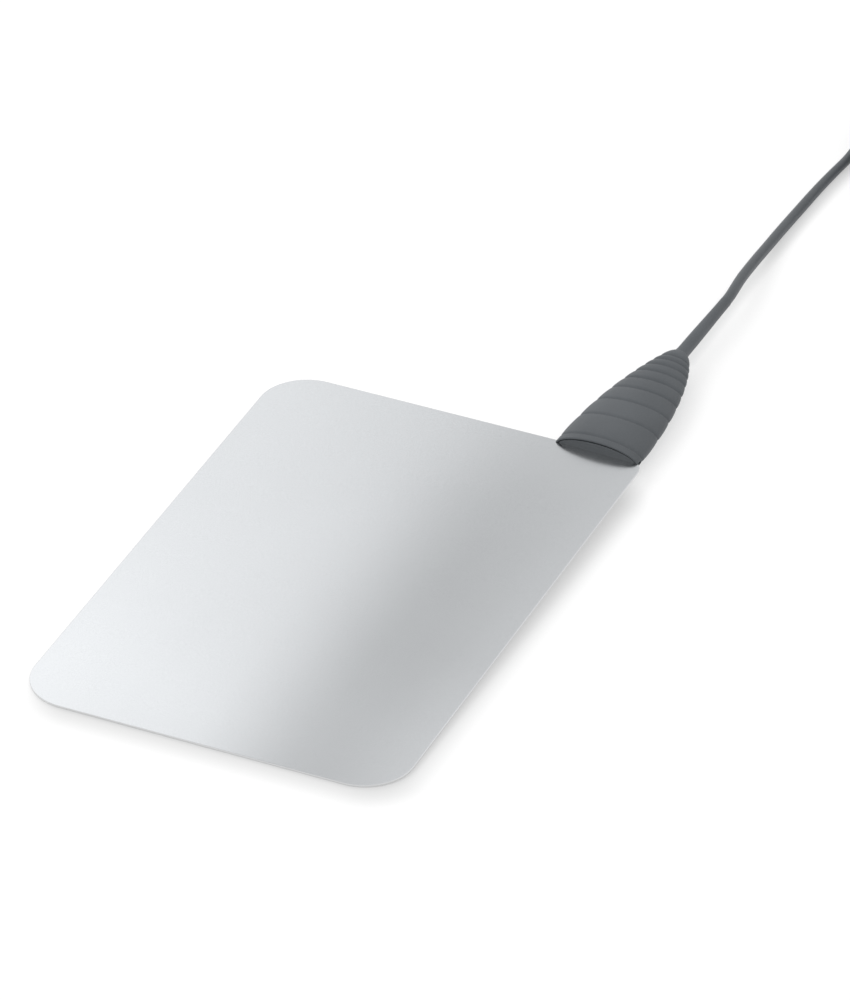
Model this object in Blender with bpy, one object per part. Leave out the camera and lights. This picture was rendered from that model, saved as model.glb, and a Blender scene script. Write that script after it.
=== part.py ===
"""Reusable return electrode: a satin steel plate in a moulded boot, with its cable, coil and jack plug.

The row frame stands on the floor, +X across the plate and +Y along it, from the near edge to the boot.
The plate lies on its near edge and on the boot's lip, so it leans a little, with all that it carries.
Lengths are in metres.
"""

import math

import bmesh
import bpy
import numpy as np
from mathutils import Euler, Matrix, Vector

GAP = 0.0003

PLATE_WIDTH = 0.158
PLATE_LENGTH = 0.240
PLATE_THICKNESS = 0.001
PLATE_CORNER_RADIUS = 0.020
PLATE_SHOULDER_RADIUS = 0.008
PLATE_EDGE_ROUNDING = 0.0003
PLATE_CORNER_STEPS = 10
TAB_WIDTH = 0.026
TAB_LENGTH = 0.016
TAB_FILLET = 0.0015

BOOT_WIDTH = 0.036
BOOT_HEIGHT = 0.0112
BOOT_LENGTH = 0.078
BOOT_INSET = 0.0202
BOOT_OVERLAP = 0.0025
BOOT_TURN = math.radians(2.0)
BOOT_TIP_WIDTH = 0.0066
BOOT_TIP_HEIGHT = 0.0056
BOOT_WIDTH_POWER = 2.1
BOOT_NOSE_POWER = 0.76
BOOT_ROUNDING_POWER = 8
BOOT_EDGE_ROUNDING = 0.0006
BOOT_WALL = 0.0012
BOOT_NECK_LENGTH = 0.044
BOOT_NECK_RADIUS = 0.00275
BOOT_NECK_END_RADIUS = 0.0026
BOOT_NECK_FILLET = 0.0007
BOOT_NECK_ROUNDING = 0.00015
BOOT_SIDES = 40

LIP_LENGTH = 0.0044
FIRST_RING_LENGTH = 0.0159
RING_SHORTENING = 0.805
RING_COUNT = 8
GROOVE_DEPTH = 0.00045
GROOVE_FRONT = 0.0004
GROOVE_BACK = 0.0012
RING_BULGE = 0.00018

INSERT_LENGTH = 0.0375
INSERT_RECESS = 0.0005
INSERT_SIDES = 22
PEG_SPACING = 0.017
PEG_RADIUS = 0.0012
PEG_DEPTH = 0.0020

RIVET_PLACE = 0.0095
RIVET_RADIUS = 0.0014
RIVET_HEAD_RADIUS = 0.0027
RIVET_HEAD_HEIGHT = 0.0008
HOLE_RADIUS = RIVET_RADIUS + GAP

TERMINAL_THICKNESS = 0.0006
TERMINAL_RING_RADIUS = 0.0034
TERMINAL_NECK_WIDTH = 0.0030
BARREL_RADIUS = 0.0016
BARREL_BORE_RADIUS = 0.0010
BARREL_LENGTH = 0.0060
BARREL_FLOOR = 0.0010

CONDUCTOR_RADIUS = 0.0007
CONDUCTOR_BARE_LENGTH = 0.0020
CABLE_RADIUS = 0.0020
CRIMPED_RADIUS = 0.00175
FERRULE_LENGTH = 0.0042
FERRULE_WALL = 0.00042
FERRULE_SETBACK = 0.0019

CABLE_SIDES = 2
CABLE_POINT_SPACING = 0.0095
CABLE_ROUTE = (
    (0.00000, 0.00000, 0.00820),
    (-0.00005, 0.00500, 0.00829),
    (-0.00060, 0.01150, 0.00820),
    (-0.00145, 0.02000, 0.00765),
    (-0.00195, 0.02700, 0.00695),
    (-0.00275, 0.04000, 0.00545),
    (-0.00330, 0.05300, 0.00400),
    (-0.00365, 0.06600, 0.00300),
    (-0.00365, 0.07800, 0.00235),
    (-0.00335, 0.09000, 0.00210),
    (-0.00295, 0.10050, 0.00210),
    (-0.00240, 0.11100, 0.00210),
    (-0.00155, 0.12200, 0.00210),
    (-0.00045, 0.13300, 0.00230),
    (0.00026, 0.14104, 0.00280),
)

COIL_TURN_PITCH = 0.00405
COIL_LAYERS = 4
COIL_TURNS_PER_LAYER = 4.5625
COIL_MIDDLE_RADIUS = 0.0235
COIL_ENTRY = (0.00046, 0.15744)
COIL_EDGE_ROUNDING = 0.0018
COIL_SIDES = 44
TIE_WIDTH = 0.007
TIE_THICKNESS = 0.0009
TIE_ANGLES = {"coil_tie_left": math.radians(135), "coil_tie_front": math.radians(285)}

TAIL_ROUTE = (
    (0.0226, 0.0294, 0.0133),
    (0.0262, 0.0263, 0.0119),
    (0.0321, 0.0186, 0.0084),
    (0.0358, 0.0098, 0.0052),
    (0.0371, 0.0000, 0.0031),
    (0.0371, -0.0095, 0.0022),
    (0.0371, -0.0185, 0.0023),
    (0.0371, -0.0270, 0.0033),
    (0.0371, -0.0350, 0.0050),
    (0.0371, -0.0420, 0.0064),
)
PLUG_PLACE = (0.0371, -0.0470)

RELIEF_LENGTH = 0.024
RELIEF_REAR_RADIUS = 0.0031
RELIEF_FRONT_RADIUS = 0.0046
RELIEF_RIB_COUNT = 4
RELIEF_GROOVE_DEPTH = 0.0006
TENON_RADIUS = 0.0036
TENON_FLANGE_RADIUS = 0.0046
TENON_FLANGE_LENGTH = 0.0018
GRIP_LENGTH = 0.032
GRIP_RADIUS = 0.00675
GRIP_REAR_RADIUS = 0.0056
GRIP_REAR_WALL = 0.0030
GRIP_FRONT_WALL = 0.0070
GRIP_CAVITY_RADIUS = 0.0050
GRIP_GROOVE_COUNT = 4
GRIP_GROOVE_DEPTH = 0.0005
JACK_RADIUS = 0.003175
JACK_LENGTH = 0.0310
JACK_BORE_RADIUS = 0.0019
JACK_FLANGE_RADIUS = 0.0046
JACK_FLANGE_LENGTH = 0.0024
JACK_TIP_LENGTH = 0.0055
JACK_RING_LENGTH = 0.0012
ROD_RADIUS = 0.0012
ROD_CUP_RADIUS = 0.0017
ROD_CUP_LENGTH = 0.0045
BUSH_LENGTH = 0.0020
TURNED_STEPS = 24

HALF_PLATE = PLATE_THICKNESS / 2
BOOT_X = PLATE_WIDTH / 2 - BOOT_INSET
BOOT_MOUTH_Y = PLATE_LENGTH - BOOT_OVERLAP
TILT = math.asin((BOOT_HEIGHT / 2 - HALF_PLATE) / (BOOT_MOUTH_Y + BOOT_EDGE_ROUNDING))
NECK_END = BOOT_LENGTH + BOOT_NECK_LENGTH
LENGTH_TO_NECK_END = BOOT_MOUTH_Y + NECK_END * math.cos(BOOT_TURN)
NEAR_EDGE_Y = -LENGTH_TO_NECK_END * math.cos(TILT) / 2

CAVITY_LENGTH = INSERT_RECESS + INSERT_LENGTH + GAP
TAB_END = BOOT_OVERLAP + TAB_LENGTH
BARREL_START = TAB_END + 0.0025
BARREL_END = BARREL_START + BARREL_LENGTH
JACKET_START = BARREL_END + CONDUCTOR_BARE_LENGTH
FERRULE_START = JACKET_START + FERRULE_SETBACK
FERRULE_BORE_RADIUS = CRIMPED_RADIUS + GAP * 0.9
FERRULE_RADIUS = FERRULE_BORE_RADIUS + FERRULE_WALL
CABLE_HOLE_RADIUS = CABLE_RADIUS + GAP

COIL_HALF_WIDTH = (COIL_TURNS_PER_LAYER * COIL_TURN_PITCH) / 2 + CABLE_RADIUS
COIL_OUTER_RADIUS = COIL_MIDDLE_RADIUS + COIL_HALF_WIDTH
COIL_INNER_RADIUS = COIL_MIDDLE_RADIUS - COIL_HALF_WIDTH
COIL_FLOOR = TIE_THICKNESS + GAP
COIL_HEIGHT = (COIL_LAYERS - 1) * COIL_TURN_PITCH + 2 * CABLE_RADIUS

GRIP_START = RELIEF_LENGTH + GAP
GRIP_END = GRIP_START + GRIP_LENGTH
GRIP_CAVITY_START = GRIP_START + GRIP_REAR_WALL
GRIP_CAVITY_END = GRIP_END - GRIP_FRONT_WALL
FLANGE_START = GRIP_CAVITY_START + GAP
FLANGE_END = FLANGE_START + TENON_FLANGE_LENGTH
JACK_FLANGE_END = GRIP_CAVITY_END - GAP
JACK_FLANGE_START = JACK_FLANGE_END - JACK_FLANGE_LENGTH
JACK_END = GRIP_END + JACK_LENGTH
TIP_START = JACK_END - JACK_TIP_LENGTH
RING_START = TIP_START - GAP - JACK_RING_LENGTH
SLEEVE_END = RING_START - GAP
BUSH_START = JACK_FLANGE_START - GAP - BUSH_LENGTH
CUP_END = BUSH_START - GAP
CUP_START = CUP_END - ROD_CUP_LENGTH
PLUG_FERRULE_START = FLANGE_END + GAP
PLUG_JACKET_END = PLUG_FERRULE_START + FERRULE_LENGTH + 2 * GAP


def clear_scene():
    for thing in list(bpy.data.objects):
        bpy.data.objects.remove(thing)


def finish(name, colour, roughness, metallic=0.0):
    """A plain Principled material in the given colour."""
    material = bpy.data.materials.new(name)
    material.use_nodes = True
    shader = material.node_tree.nodes["Principled BSDF"]
    shader.inputs["Base Color"].default_value = (*colour, 1.0)
    shader.inputs["Roughness"].default_value = roughness
    shader.inputs["Metallic"].default_value = metallic
    material.diffuse_color = (*colour, 1.0)
    return material


def place(name, data, material, parent):
    """Puts the data in the scene as one named object under its parent."""
    piece = bpy.data.objects.new(name, data)
    bpy.context.scene.collection.objects.link(piece)
    piece.parent = parent
    if material is not None:
        data.materials.append(material)
    return piece


def hide_as_cutter(piece):
    piece.hide_render = True
    piece.display_type = "WIRE"
    return piece


def anchor(name, parent, location, rotation=(0.0, 0.0, 0.0)):
    """An empty that other pieces hang from."""
    empty = bpy.data.objects.new(name, None)
    bpy.context.scene.collection.objects.link(empty)
    empty.parent = parent
    empty.location = location
    empty.rotation_euler = Euler(rotation)
    return empty


def shade(mesh, angle=math.radians(35)):
    mesh.shade_smooth()
    mesh.set_sharp_from_angle(angle=angle)


def loft(name, rings, material, parent, closed=False):
    """Joins a row of rings with equal numbers of points. A closed loft joins its last ring to its first."""
    bm = bmesh.new()
    loops = [[bm.verts.new(point) for point in ring] for ring in rings]
    pairs = list(zip(loops, loops[1:]))
    if closed:
        pairs.append((loops[-1], loops[0]))
    for first, second in pairs:
        count = len(first)
        for i in range(count):
            j = (i + 1) % count
            bm.faces.new((first[i], first[j], second[j], second[i]))
    if not closed:
        bm.faces.new(loops[0])
        bm.faces.new(loops[-1])
    bmesh.ops.recalc_face_normals(bm, faces=bm.faces)
    mesh = bpy.data.meshes.new(name)
    bm.to_mesh(mesh)
    bm.free()
    shade(mesh)
    return place(name, mesh, material, parent)


def turned(name, profile, material, parent, steps=TURNED_STEPS):
    """Turns a profile of (radius, height) about +Z. One that starts off the axis is closed into a ring."""
    mesh = bpy.data.meshes.new(name)
    points = [(radius, 0.0, height) for radius, height in profile]
    edges = [(i, i + 1) for i in range(len(points) - 1)]
    if profile[0][0] > 0:
        edges.append((len(points) - 1, 0))
    mesh.from_pydata(points, edges, [])
    piece = place(name, mesh, material, parent)
    screw = piece.modifiers.new("Turn", "SCREW")
    screw.steps = steps
    screw.render_steps = steps
    screw.use_merge_vertices = True
    screw.merge_threshold = 0.00001
    screw.use_smooth_shade = True
    return piece


def block(name, low, high, parent):
    """A plain box between two corners, used to cut with."""
    bm = bmesh.new()
    bmesh.ops.create_cube(bm, size=1.0)
    size = Vector(high) - Vector(low)
    middle = (Vector(high) + Vector(low)) / 2
    bmesh.ops.scale(bm, vec=size, verts=bm.verts)
    bmesh.ops.translate(bm, vec=middle, verts=bm.verts)
    mesh = bpy.data.meshes.new(name)
    bm.to_mesh(mesh)
    bm.free()
    return hide_as_cutter(place(name, mesh, None, parent))


def rod(name, radius, start, end, parent, sides=TURNED_STEPS):
    """A plain cylinder between two points, used to cut with or to add."""
    start, end = Vector(start), Vector(end)
    run = end - start
    turn = run.to_track_quat("Z", "Y").to_matrix().to_4x4()
    bm = bmesh.new()
    bmesh.ops.create_cone(
        bm,
        cap_ends=True,
        segments=sides,
        radius1=radius,
        radius2=radius,
        depth=run.length,
        matrix=Matrix.Translation((start + end) / 2) @ turn,
    )
    mesh = bpy.data.meshes.new(name)
    bm.to_mesh(mesh)
    bm.free()
    return hide_as_cutter(place(name, mesh, None, parent))


def combine(piece, others, operation):
    """Cuts the others out of the piece, or adds them to it."""
    for other in others:
        boolean = piece.modifiers.new(other.name, "BOOLEAN")
        boolean.operation = operation
        boolean.object = other


def arc(centre, radius, start, end, steps):
    """Points on a circle from one angle to another, in degrees."""
    angles = np.radians(np.linspace(start, end, steps + 1))
    return [(centre[0] + radius * math.cos(a), centre[1] + radius * math.sin(a)) for a in angles]


def plate_outline():
    """The plate and its tab seen from above, anticlockwise from the near right corner."""
    half = PLATE_WIDTH / 2
    r = PLATE_CORNER_RADIUS
    s = PLATE_SHOULDER_RADIUS
    f = TAB_FILLET
    tab_left = BOOT_X - TAB_WIDTH / 2
    tab_right = BOOT_X + TAB_WIDTH / 2
    tab_top = PLATE_LENGTH + TAB_LENGTH
    steps = PLATE_CORNER_STEPS
    few = 4
    return (
        arc((half - r, r), r, -90, 0, steps)
        + arc((half - s, PLATE_LENGTH - s), s, 0, 90, steps)
        + arc((tab_right + f, PLATE_LENGTH + f), f, 270, 180, few)
        + arc((tab_right - f, tab_top - f), f, 0, 90, few)
        + arc((tab_left + f, tab_top - f), f, 90, 180, few)
        + arc((tab_left - f, PLATE_LENGTH + f), f, 0, -90, few)
        + arc((-half + r, PLATE_LENGTH - r), r, 90, 180, steps)
        + arc((-half + r, r), r, 180, 270, steps)
    )


def electrode_plate(material, plate_frame, holes):
    """The sheet, with its edge rolled over, the rivet hole and the holes for the insert's pegs."""
    bm = bmesh.new()
    rim = [bm.verts.new((x, y, -HALF_PLATE)) for x, y in plate_outline()]
    bottom = bm.faces.new(rim)
    made = bmesh.ops.extrude_face_region(bm, geom=[bottom])
    lifted = [part for part in made["geom"] if isinstance(part, bmesh.types.BMVert)]
    bmesh.ops.translate(bm, vec=(0, 0, PLATE_THICKNESS), verts=lifted)
    split_y = BOOT_MOUTH_Y - 2 * PLATE_SHOULDER_RADIUS
    everything = list(bm.verts) + list(bm.edges) + list(bm.faces)
    bmesh.ops.bisect_plane(bm, geom=everything, plane_co=(0, split_y, 0), plane_no=(0, 1, 0))
    bmesh.ops.recalc_face_normals(bm, faces=bm.faces)
    mesh = bpy.data.meshes.new("electrode_plate")
    bm.to_mesh(mesh)
    bm.free()
    piece = place("electrode_plate", mesh, material, plate_frame)
    rounding = piece.modifiers.new("Edge", "BEVEL")
    rounding.width = PLATE_EDGE_ROUNDING
    rounding.segments = 2
    rounding.limit_method = "ANGLE"
    rounding.angle_limit = math.radians(60)
    combine(piece, holes, "DIFFERENCE")
    return piece


def boot_half_width(along):
    """Half the boot's width: an ogive that starts flat at the mouth and closes on the neck."""
    nose = 1 - (along / BOOT_LENGTH) ** BOOT_WIDTH_POWER
    tip = BOOT_TIP_WIDTH / 2
    return tip + (BOOT_WIDTH / 2 - tip) * max(nose, 0.0) ** BOOT_NOSE_POWER


def boot_half_height(along):
    """Half the boot's height: a flat oval's share of the width, which grows to nearly round at the tip."""
    flat = BOOT_HEIGHT / BOOT_WIDTH
    round_share = BOOT_TIP_HEIGHT / BOOT_TIP_WIDTH
    blend = (along / BOOT_LENGTH) ** BOOT_ROUNDING_POWER
    return boot_half_width(along) * (flat + (round_share - flat) * blend)


def oval(along, inset=0.0, sides=BOOT_SIDES):
    """One oval section of the boot, drawn in by the inset."""
    width = boot_half_width(along) - inset
    height = boot_half_height(along) - inset
    angles = np.linspace(0, 2 * math.pi, sides, endpoint=False)
    return [(width * math.cos(a), along, height * math.sin(a)) for a in angles]


def circle(along, radius, sides=BOOT_SIDES):
    angles = np.linspace(0, 2 * math.pi, sides, endpoint=False)
    return [(radius * math.cos(a), along, radius * math.sin(a)) for a in angles]


def groove_places():
    """Where the grooves lie: one behind the lip, then rings that shorten by one ratio."""
    places = [LIP_LENGTH]
    length = FIRST_RING_LENGTH
    for _ in range(RING_COUNT):
        places.append(places[-1] + length)
        length *= RING_SHORTENING
    return [place for place in places if place < BOOT_LENGTH - GROOVE_BACK]


def boot_outer_sections():
    """Sections from the mouth on: a straight lip, swollen rings between grooves, and the round neck."""
    r = BOOT_EDGE_ROUNDING
    sections = [oval(0.0, r), oval(0.3 * r, 0.3 * r), oval(r, 0.0)]
    start = r
    bulge = 0.0
    for groove in groove_places():
        middle = (start + groove) / 2
        sections.append(oval(middle, -bulge))
        sections.append(oval(groove - GROOVE_FRONT, 0.0))
        sections.append(oval(groove, GROOVE_DEPTH))
        sections.append(oval(groove + GROOVE_BACK, 0.0))
        start = groove + GROOVE_BACK
        bulge = RING_BULGE
    tip = BOOT_LENGTH
    sections.append(oval((start + tip - r) / 2, 0.0))
    sections.append(oval(tip - r, 0.0))
    sections.append(circle(tip + BOOT_NECK_FILLET, BOOT_NECK_RADIUS))
    sections.append(circle(NECK_END - BOOT_NECK_ROUNDING, BOOT_NECK_END_RADIUS))
    sections.append(circle(NECK_END, BOOT_NECK_END_RADIUS - BOOT_NECK_ROUNDING))
    return sections


def boot_inner_sections():
    """Sections from the neck's end to the mouth: the cable's hole, a shoulder, and the insert's cavity."""
    return [
        circle(NECK_END, CABLE_HOLE_RADIUS),
        circle(CAVITY_LENGTH, CABLE_HOLE_RADIUS),
        oval(CAVITY_LENGTH, BOOT_WALL),
        oval(CAVITY_LENGTH * 0.66, BOOT_WALL),
        oval(CAVITY_LENGTH * 0.33, BOOT_WALL),
        oval(0.0, BOOT_WALL),
    ]


def boot(material, boot_frame, plate_slot):
    """The moulded outer boot, slit at both sides of its mouth where it reaches over the plate."""
    piece = loft("boot", boot_outer_sections() + boot_inner_sections(), material, boot_frame, closed=True)
    combine(piece, [plate_slot], "DIFFERENCE")
    return piece


def insert_section(along, side):
    """Half of the cavity's oval, above or below the split."""
    width = boot_half_width(along) - BOOT_WALL - GAP
    height = boot_half_height(along) - BOOT_WALL - GAP
    split = GAP / 2
    angles = np.linspace(0, math.pi, INSERT_SIDES)
    return [
        (width * math.cos(a), along, side * (split + (height - split) * math.sin(a)))
        for a in angles
    ]


def insert_half(name, side, material, boot_frame, pockets):
    """One half of the hard insert that clamps the tab and the terminal inside the boot."""
    stations = np.linspace(INSERT_RECESS, INSERT_RECESS + INSERT_LENGTH, 6)
    piece = loft(name, [insert_section(float(y), side) for y in stations], material, boot_frame)
    combine(piece, pockets, "DIFFERENCE")
    return piece


def peg_places():
    return [(-PEG_SPACING / 2, RIVET_PLACE), (PEG_SPACING / 2, RIVET_PLACE)]


def shared_pockets(boot_frame, plate_frame, plate_slot):
    """What both halves are cut away for: the plate, its tab, the barrel, the ferrule and the cable."""
    thick = HALF_PLATE + GAP
    half = TAB_WIDTH / 2 + GAP
    ferrule = FERRULE_RADIUS + GAP
    barrel = BARREL_RADIUS + GAP
    return [
        plate_slot,
        block(
            "pocket_tab",
            (BOOT_X - half, BOOT_MOUTH_Y - 0.002, -thick),
            (BOOT_X + half, PLATE_LENGTH + TAB_LENGTH + GAP, thick),
            plate_frame,
        ),
        block(
            "pocket_tab_root",
            (BOOT_X - BOOT_WIDTH / 2, BOOT_MOUTH_Y - 0.002, -thick),
            (BOOT_X + BOOT_WIDTH / 2, PLATE_LENGTH + TAB_FILLET + GAP, thick),
            plate_frame,
        ),
        rod("pocket_barrel", barrel, (0, TAB_END - 0.001, 0), (0, JACKET_START + 0.001, 0), boot_frame),
        rod(
            "pocket_ferrule",
            ferrule,
            (0, FERRULE_START - GAP, 0),
            (0, FERRULE_START + FERRULE_LENGTH + GAP, 0),
            boot_frame,
        ),
        rod("pocket_cable", CABLE_HOLE_RADIUS, (0, JACKET_START - 0.001, 0), (0, 0.05, 0), boot_frame),
    ]


def upper_pockets(boot_frame):
    """Room above the tab for the terminal's ring and neck and for the rivet's closed head."""
    ring_top = HALF_PLATE + GAP + TERMINAL_THICKNESS
    head_top = ring_top + GAP + RIVET_HEAD_HEIGHT + GAP
    half_neck = TERMINAL_NECK_WIDTH / 2 + GAP
    return [
        rod(
            "pocket_ring",
            TERMINAL_RING_RADIUS + GAP,
            (0, RIVET_PLACE, 0),
            (0, RIVET_PLACE, head_top),
            boot_frame,
        ),
        block(
            "pocket_neck",
            (-half_neck, RIVET_PLACE, 0),
            (half_neck, BARREL_START + GAP, ring_top + GAP),
            boot_frame,
        ),
    ]


def lower_pockets(boot_frame):
    """Room below the tab for the rivet's first head, and a socket for each peg."""
    head_bottom = -(HALF_PLATE + GAP + RIVET_HEAD_HEIGHT + GAP)
    cuts = [
        rod(
            "pocket_rivet_head",
            RIVET_HEAD_RADIUS + GAP,
            (0, RIVET_PLACE, 0),
            (0, RIVET_PLACE, head_bottom),
            boot_frame,
        )
    ]
    for number, (x, y) in enumerate(peg_places()):
        low = (x, y, -(PEG_DEPTH + GAP))
        cuts.append(rod(f"pocket_peg_{number}", PEG_RADIUS + GAP, (x, y, 0), low, boot_frame, 20))
    return cuts


def rivet(material, boot_frame):
    """The rivet that holds the terminal to the tab, with its first head below."""
    seat = anchor("rivet_axis", boot_frame, (0, RIVET_PLACE, 0))
    under = HALF_PLATE + GAP
    over = under + TERMINAL_THICKNESS + GAP
    head = RIVET_HEAD_RADIUS
    high = RIVET_HEAD_HEIGHT
    profile = [
        (0.0, over + high),
        (0.6 * head, over + high),
        (0.93 * head, over + 0.4 * high),
        (0.93 * head, over),
        (RIVET_RADIUS, over),
        (RIVET_RADIUS, -under),
        (head, -under),
        (head, -under - 0.5 * high),
        (0.75 * head, -under - high),
        (0.0, -under - high),
    ]
    return turned("rivet", profile, material, seat, 24)


def ring_terminal(material, boot_frame):
    """A crimp terminal: a ring on the tab, a stepped neck, and a barrel on the cable's axis."""
    low = HALF_PLATE + GAP
    high = low + TERMINAL_THICKNESS
    half = TERMINAL_NECK_WIDTH / 2
    thin = TERMINAL_THICKNESS / 2
    middle = (low + high) / 2
    axis = anchor("terminal_ring_axis", boot_frame, (0, RIVET_PLACE, 0))
    profile = [
        (HOLE_RADIUS, high),
        (TERMINAL_RING_RADIUS, high),
        (TERMINAL_RING_RADIUS, low),
        (HOLE_RADIUS, low),
    ]
    piece = turned("ring_terminal", profile, material, axis, 32)
    run = [
        (RIVET_PLACE + 0.8 * TERMINAL_RING_RADIUS, middle),
        (TAB_END + 0.0004, middle),
        (BARREL_START - 0.0002, thin),
        (BARREL_START + 0.6 * BARREL_FLOOR, thin / 2),
    ]
    sections = [
        [(-half, y, z - thin), (half, y, z - thin), (half, y, z + thin), (-half, y, z + thin)]
        for y, z in run
    ]
    neck = hide_as_cutter(loft("terminal_neck", sections, None, boot_frame))
    barrel_axis = anchor("terminal_barrel_axis", boot_frame, (0, 0, 0), (-math.pi / 2, 0, 0))
    barrel_profile = [
        (0.0, BARREL_START + BARREL_FLOOR),
        (BARREL_BORE_RADIUS, BARREL_START + BARREL_FLOOR),
        (BARREL_BORE_RADIUS, BARREL_END),
        (BARREL_RADIUS, BARREL_END),
        (BARREL_RADIUS, BARREL_START),
        (0.0, BARREL_START),
    ]
    barrel = hide_as_cutter(turned("terminal_barrel", barrel_profile, None, barrel_axis, 24))
    combine(piece, [neck, barrel], "UNION")
    return piece


def along_boot(boot_frame, name):
    """An empty whose +Z runs along the boot, for what is turned about the cable's axis."""
    return anchor(name, boot_frame, (0, 0, 0), (-math.pi / 2, 0, 0))


def pin(name, radius, start, end, material, parent, steps=20):
    """A short round length with slightly broken edges."""
    edge = 0.12 * radius
    profile = [
        (0.0, end),
        (radius - edge, end),
        (radius, end - edge),
        (radius, start + edge),
        (radius - edge, start),
        (0.0, start),
    ]
    return turned(name, profile, material, parent, steps)


def jacket_end(name, start, crimp, end, material, parent):
    """A length of the cable's jacket, squeezed to a waist under its ferrule."""
    slope = 0.0002
    waist = crimp + FERRULE_LENGTH
    profile = [
        (0.0, end),
        (CABLE_RADIUS, end),
        (CABLE_RADIUS, waist + GAP + slope),
        (CRIMPED_RADIUS, waist + GAP),
        (CRIMPED_RADIUS, crimp - GAP),
        (CABLE_RADIUS, crimp - GAP - slope),
        (CABLE_RADIUS, start),
        (0.0, start),
    ]
    return turned(name, profile, material, parent, 24)


def ferrule(name, start, material, parent):
    """A sleeve crimped in two rings, which keeps a pull off the conductor."""
    end = start + FERRULE_LENGTH
    dip = FERRULE_WALL * 0.35
    press = FERRULE_LENGTH / 5
    outer = []
    for number in range(6):
        height = end - number * press
        pressed = number in (1, 4)
        outer.append((FERRULE_RADIUS - (dip if pressed else 0.0), height))
    profile = [(FERRULE_BORE_RADIUS, end)] + outer + [(FERRULE_BORE_RADIUS, start)]
    return turned(name, profile, material, parent)


def smooth_route(points, spacing):
    """Reads a smooth curve through the points at even steps, from cubics."""
    knots = np.array(points, float)
    lengths = np.sqrt(np.linalg.norm(np.diff(knots, axis=0), axis=1))
    knot_times = np.concatenate([[0.0], np.cumsum(lengths)])
    slopes = np.gradient(knots, knot_times, axis=0)
    fine = np.linspace(0.0, knot_times[-1], 60 * len(knots))
    index = np.clip(np.searchsorted(knot_times, fine, side="right") - 1, 0, len(knots) - 2)
    width = (knot_times[index + 1] - knot_times[index])[:, None]
    t = ((fine - knot_times[index])[:, None]) / width
    curve = (
        (2 * t**3 - 3 * t**2 + 1) * knots[index]
        + (t**3 - 2 * t**2 + t) * width * slopes[index]
        + (3 * t**2 - 2 * t**3) * knots[index + 1]
        + (t**3 - t**2) * width * slopes[index + 1]
    )
    travel = np.concatenate([[0.0], np.cumsum(np.linalg.norm(np.diff(curve, axis=0), axis=1))])
    count = max(int(round(travel[-1] / spacing)), 2)
    steps = np.linspace(0.0, travel[-1], count + 1)
    return [tuple(np.interp(steps, travel, curve[:, i])[k] for i in range(3)) for k in range(count + 1)]


def tube(name, points, material):
    """A length of the cable as a round tube along a line of points."""
    data = bpy.data.curves.new(name, "CURVE")
    data.dimensions = "3D"
    data.bevel_depth = CABLE_RADIUS
    data.bevel_resolution = CABLE_SIDES
    data.use_fill_caps = True
    data.resolution_u = 1
    spline = data.splines.new("POLY")
    spline.points.add(len(points) - 1)
    for point, target in zip(spline.points, points):
        point.co = (*target, 1.0)
    spline.use_smooth = True
    return place(name, data, material, None)


def exit_point(boot_frame):
    """Where the cable leaves the boot's neck, in the row frame."""
    bpy.context.view_layer.update()
    return boot_frame.matrix_world @ Vector((0, NECK_END, 0))


def cable(leave, material):
    """The free cable, from the end of the boot's neck to the side of the coil."""
    points = [tuple(leave)] + [(leave.x + x, leave.y + y, z) for x, y, z in CABLE_ROUTE[1:]]
    route = smooth_route(points, CABLE_POINT_SPACING)
    first, second = Vector(route[0]), Vector(route[1])
    route[0] = tuple(first + (second - first).normalized() * GAP)
    return tube("cable", route, material)


def cable_coil(coil_frame, material):
    """The outer shape of the coiled turns: a ring with rounded corners."""
    r = COIL_EDGE_ROUNDING
    low, high = COIL_FLOOR, COIL_FLOOR + COIL_HEIGHT
    inner, outer = COIL_INNER_RADIUS, COIL_OUTER_RADIUS
    profile = (
        arc((inner + r, high - r), r, 180, 90, 2)
        + arc((outer - r, high - r), r, 90, 0, 2)
        + arc((outer - r, low + r), r, 0, -90, 2)
        + arc((inner + r, low + r), r, 270, 180, 2)
    )
    return turned("cable_coil", profile, material, coil_frame, COIL_SIDES)


def coil_tie(name, angle, material, coil_frame):
    """A strap round the coil's section at one place: a band carried along a rounded rectangle."""
    half_band = TIE_THICKNESS / 2
    inner = math.sqrt(COIL_INNER_RADIUS**2 - (TIE_WIDTH / 2) ** 2) - GAP - half_band
    outer = COIL_OUTER_RADIUS + GAP + half_band
    low = COIL_FLOOR - GAP - half_band
    high = COIL_FLOOR + COIL_HEIGHT + GAP + half_band
    r = COIL_EDGE_ROUNDING + half_band
    path = (
        arc((inner + r, high - r), r, 180, 90, 4)
        + arc((outer - r, high - r), r, 90, 0, 4)
        + arc((outer - r, low + r), r, 0, -90, 4)
        + arc((inner + r, low + r), r, 270, 180, 4)
    )
    centre = ((inner + outer) / 2, (low + high) / 2)
    half_width = TIE_WIDTH / 2
    count = len(path)
    sections = []
    for number, (x, z) in enumerate(path):
        before, after = path[number - 1], path[(number + 1) % count]
        run = Vector((after[0] - before[0], after[1] - before[1])).normalized()
        normal = Vector((-run.y, run.x))
        if normal.dot(Vector((x - centre[0], z - centre[1]))) < 0:
            normal = -normal
        near = (x - normal.x * half_band, z - normal.y * half_band)
        far = (x + normal.x * half_band, z + normal.y * half_band)
        sections.append(
            [
                (near[0], -half_width, near[1]),
                (far[0], -half_width, far[1]),
                (far[0], half_width, far[1]),
                (near[0], half_width, near[1]),
            ]
        )
    seat = anchor(name + "_seat", coil_frame, (0, 0, 0), (0, 0, angle))
    return loft(name, sections, material, seat, closed=True)


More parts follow.
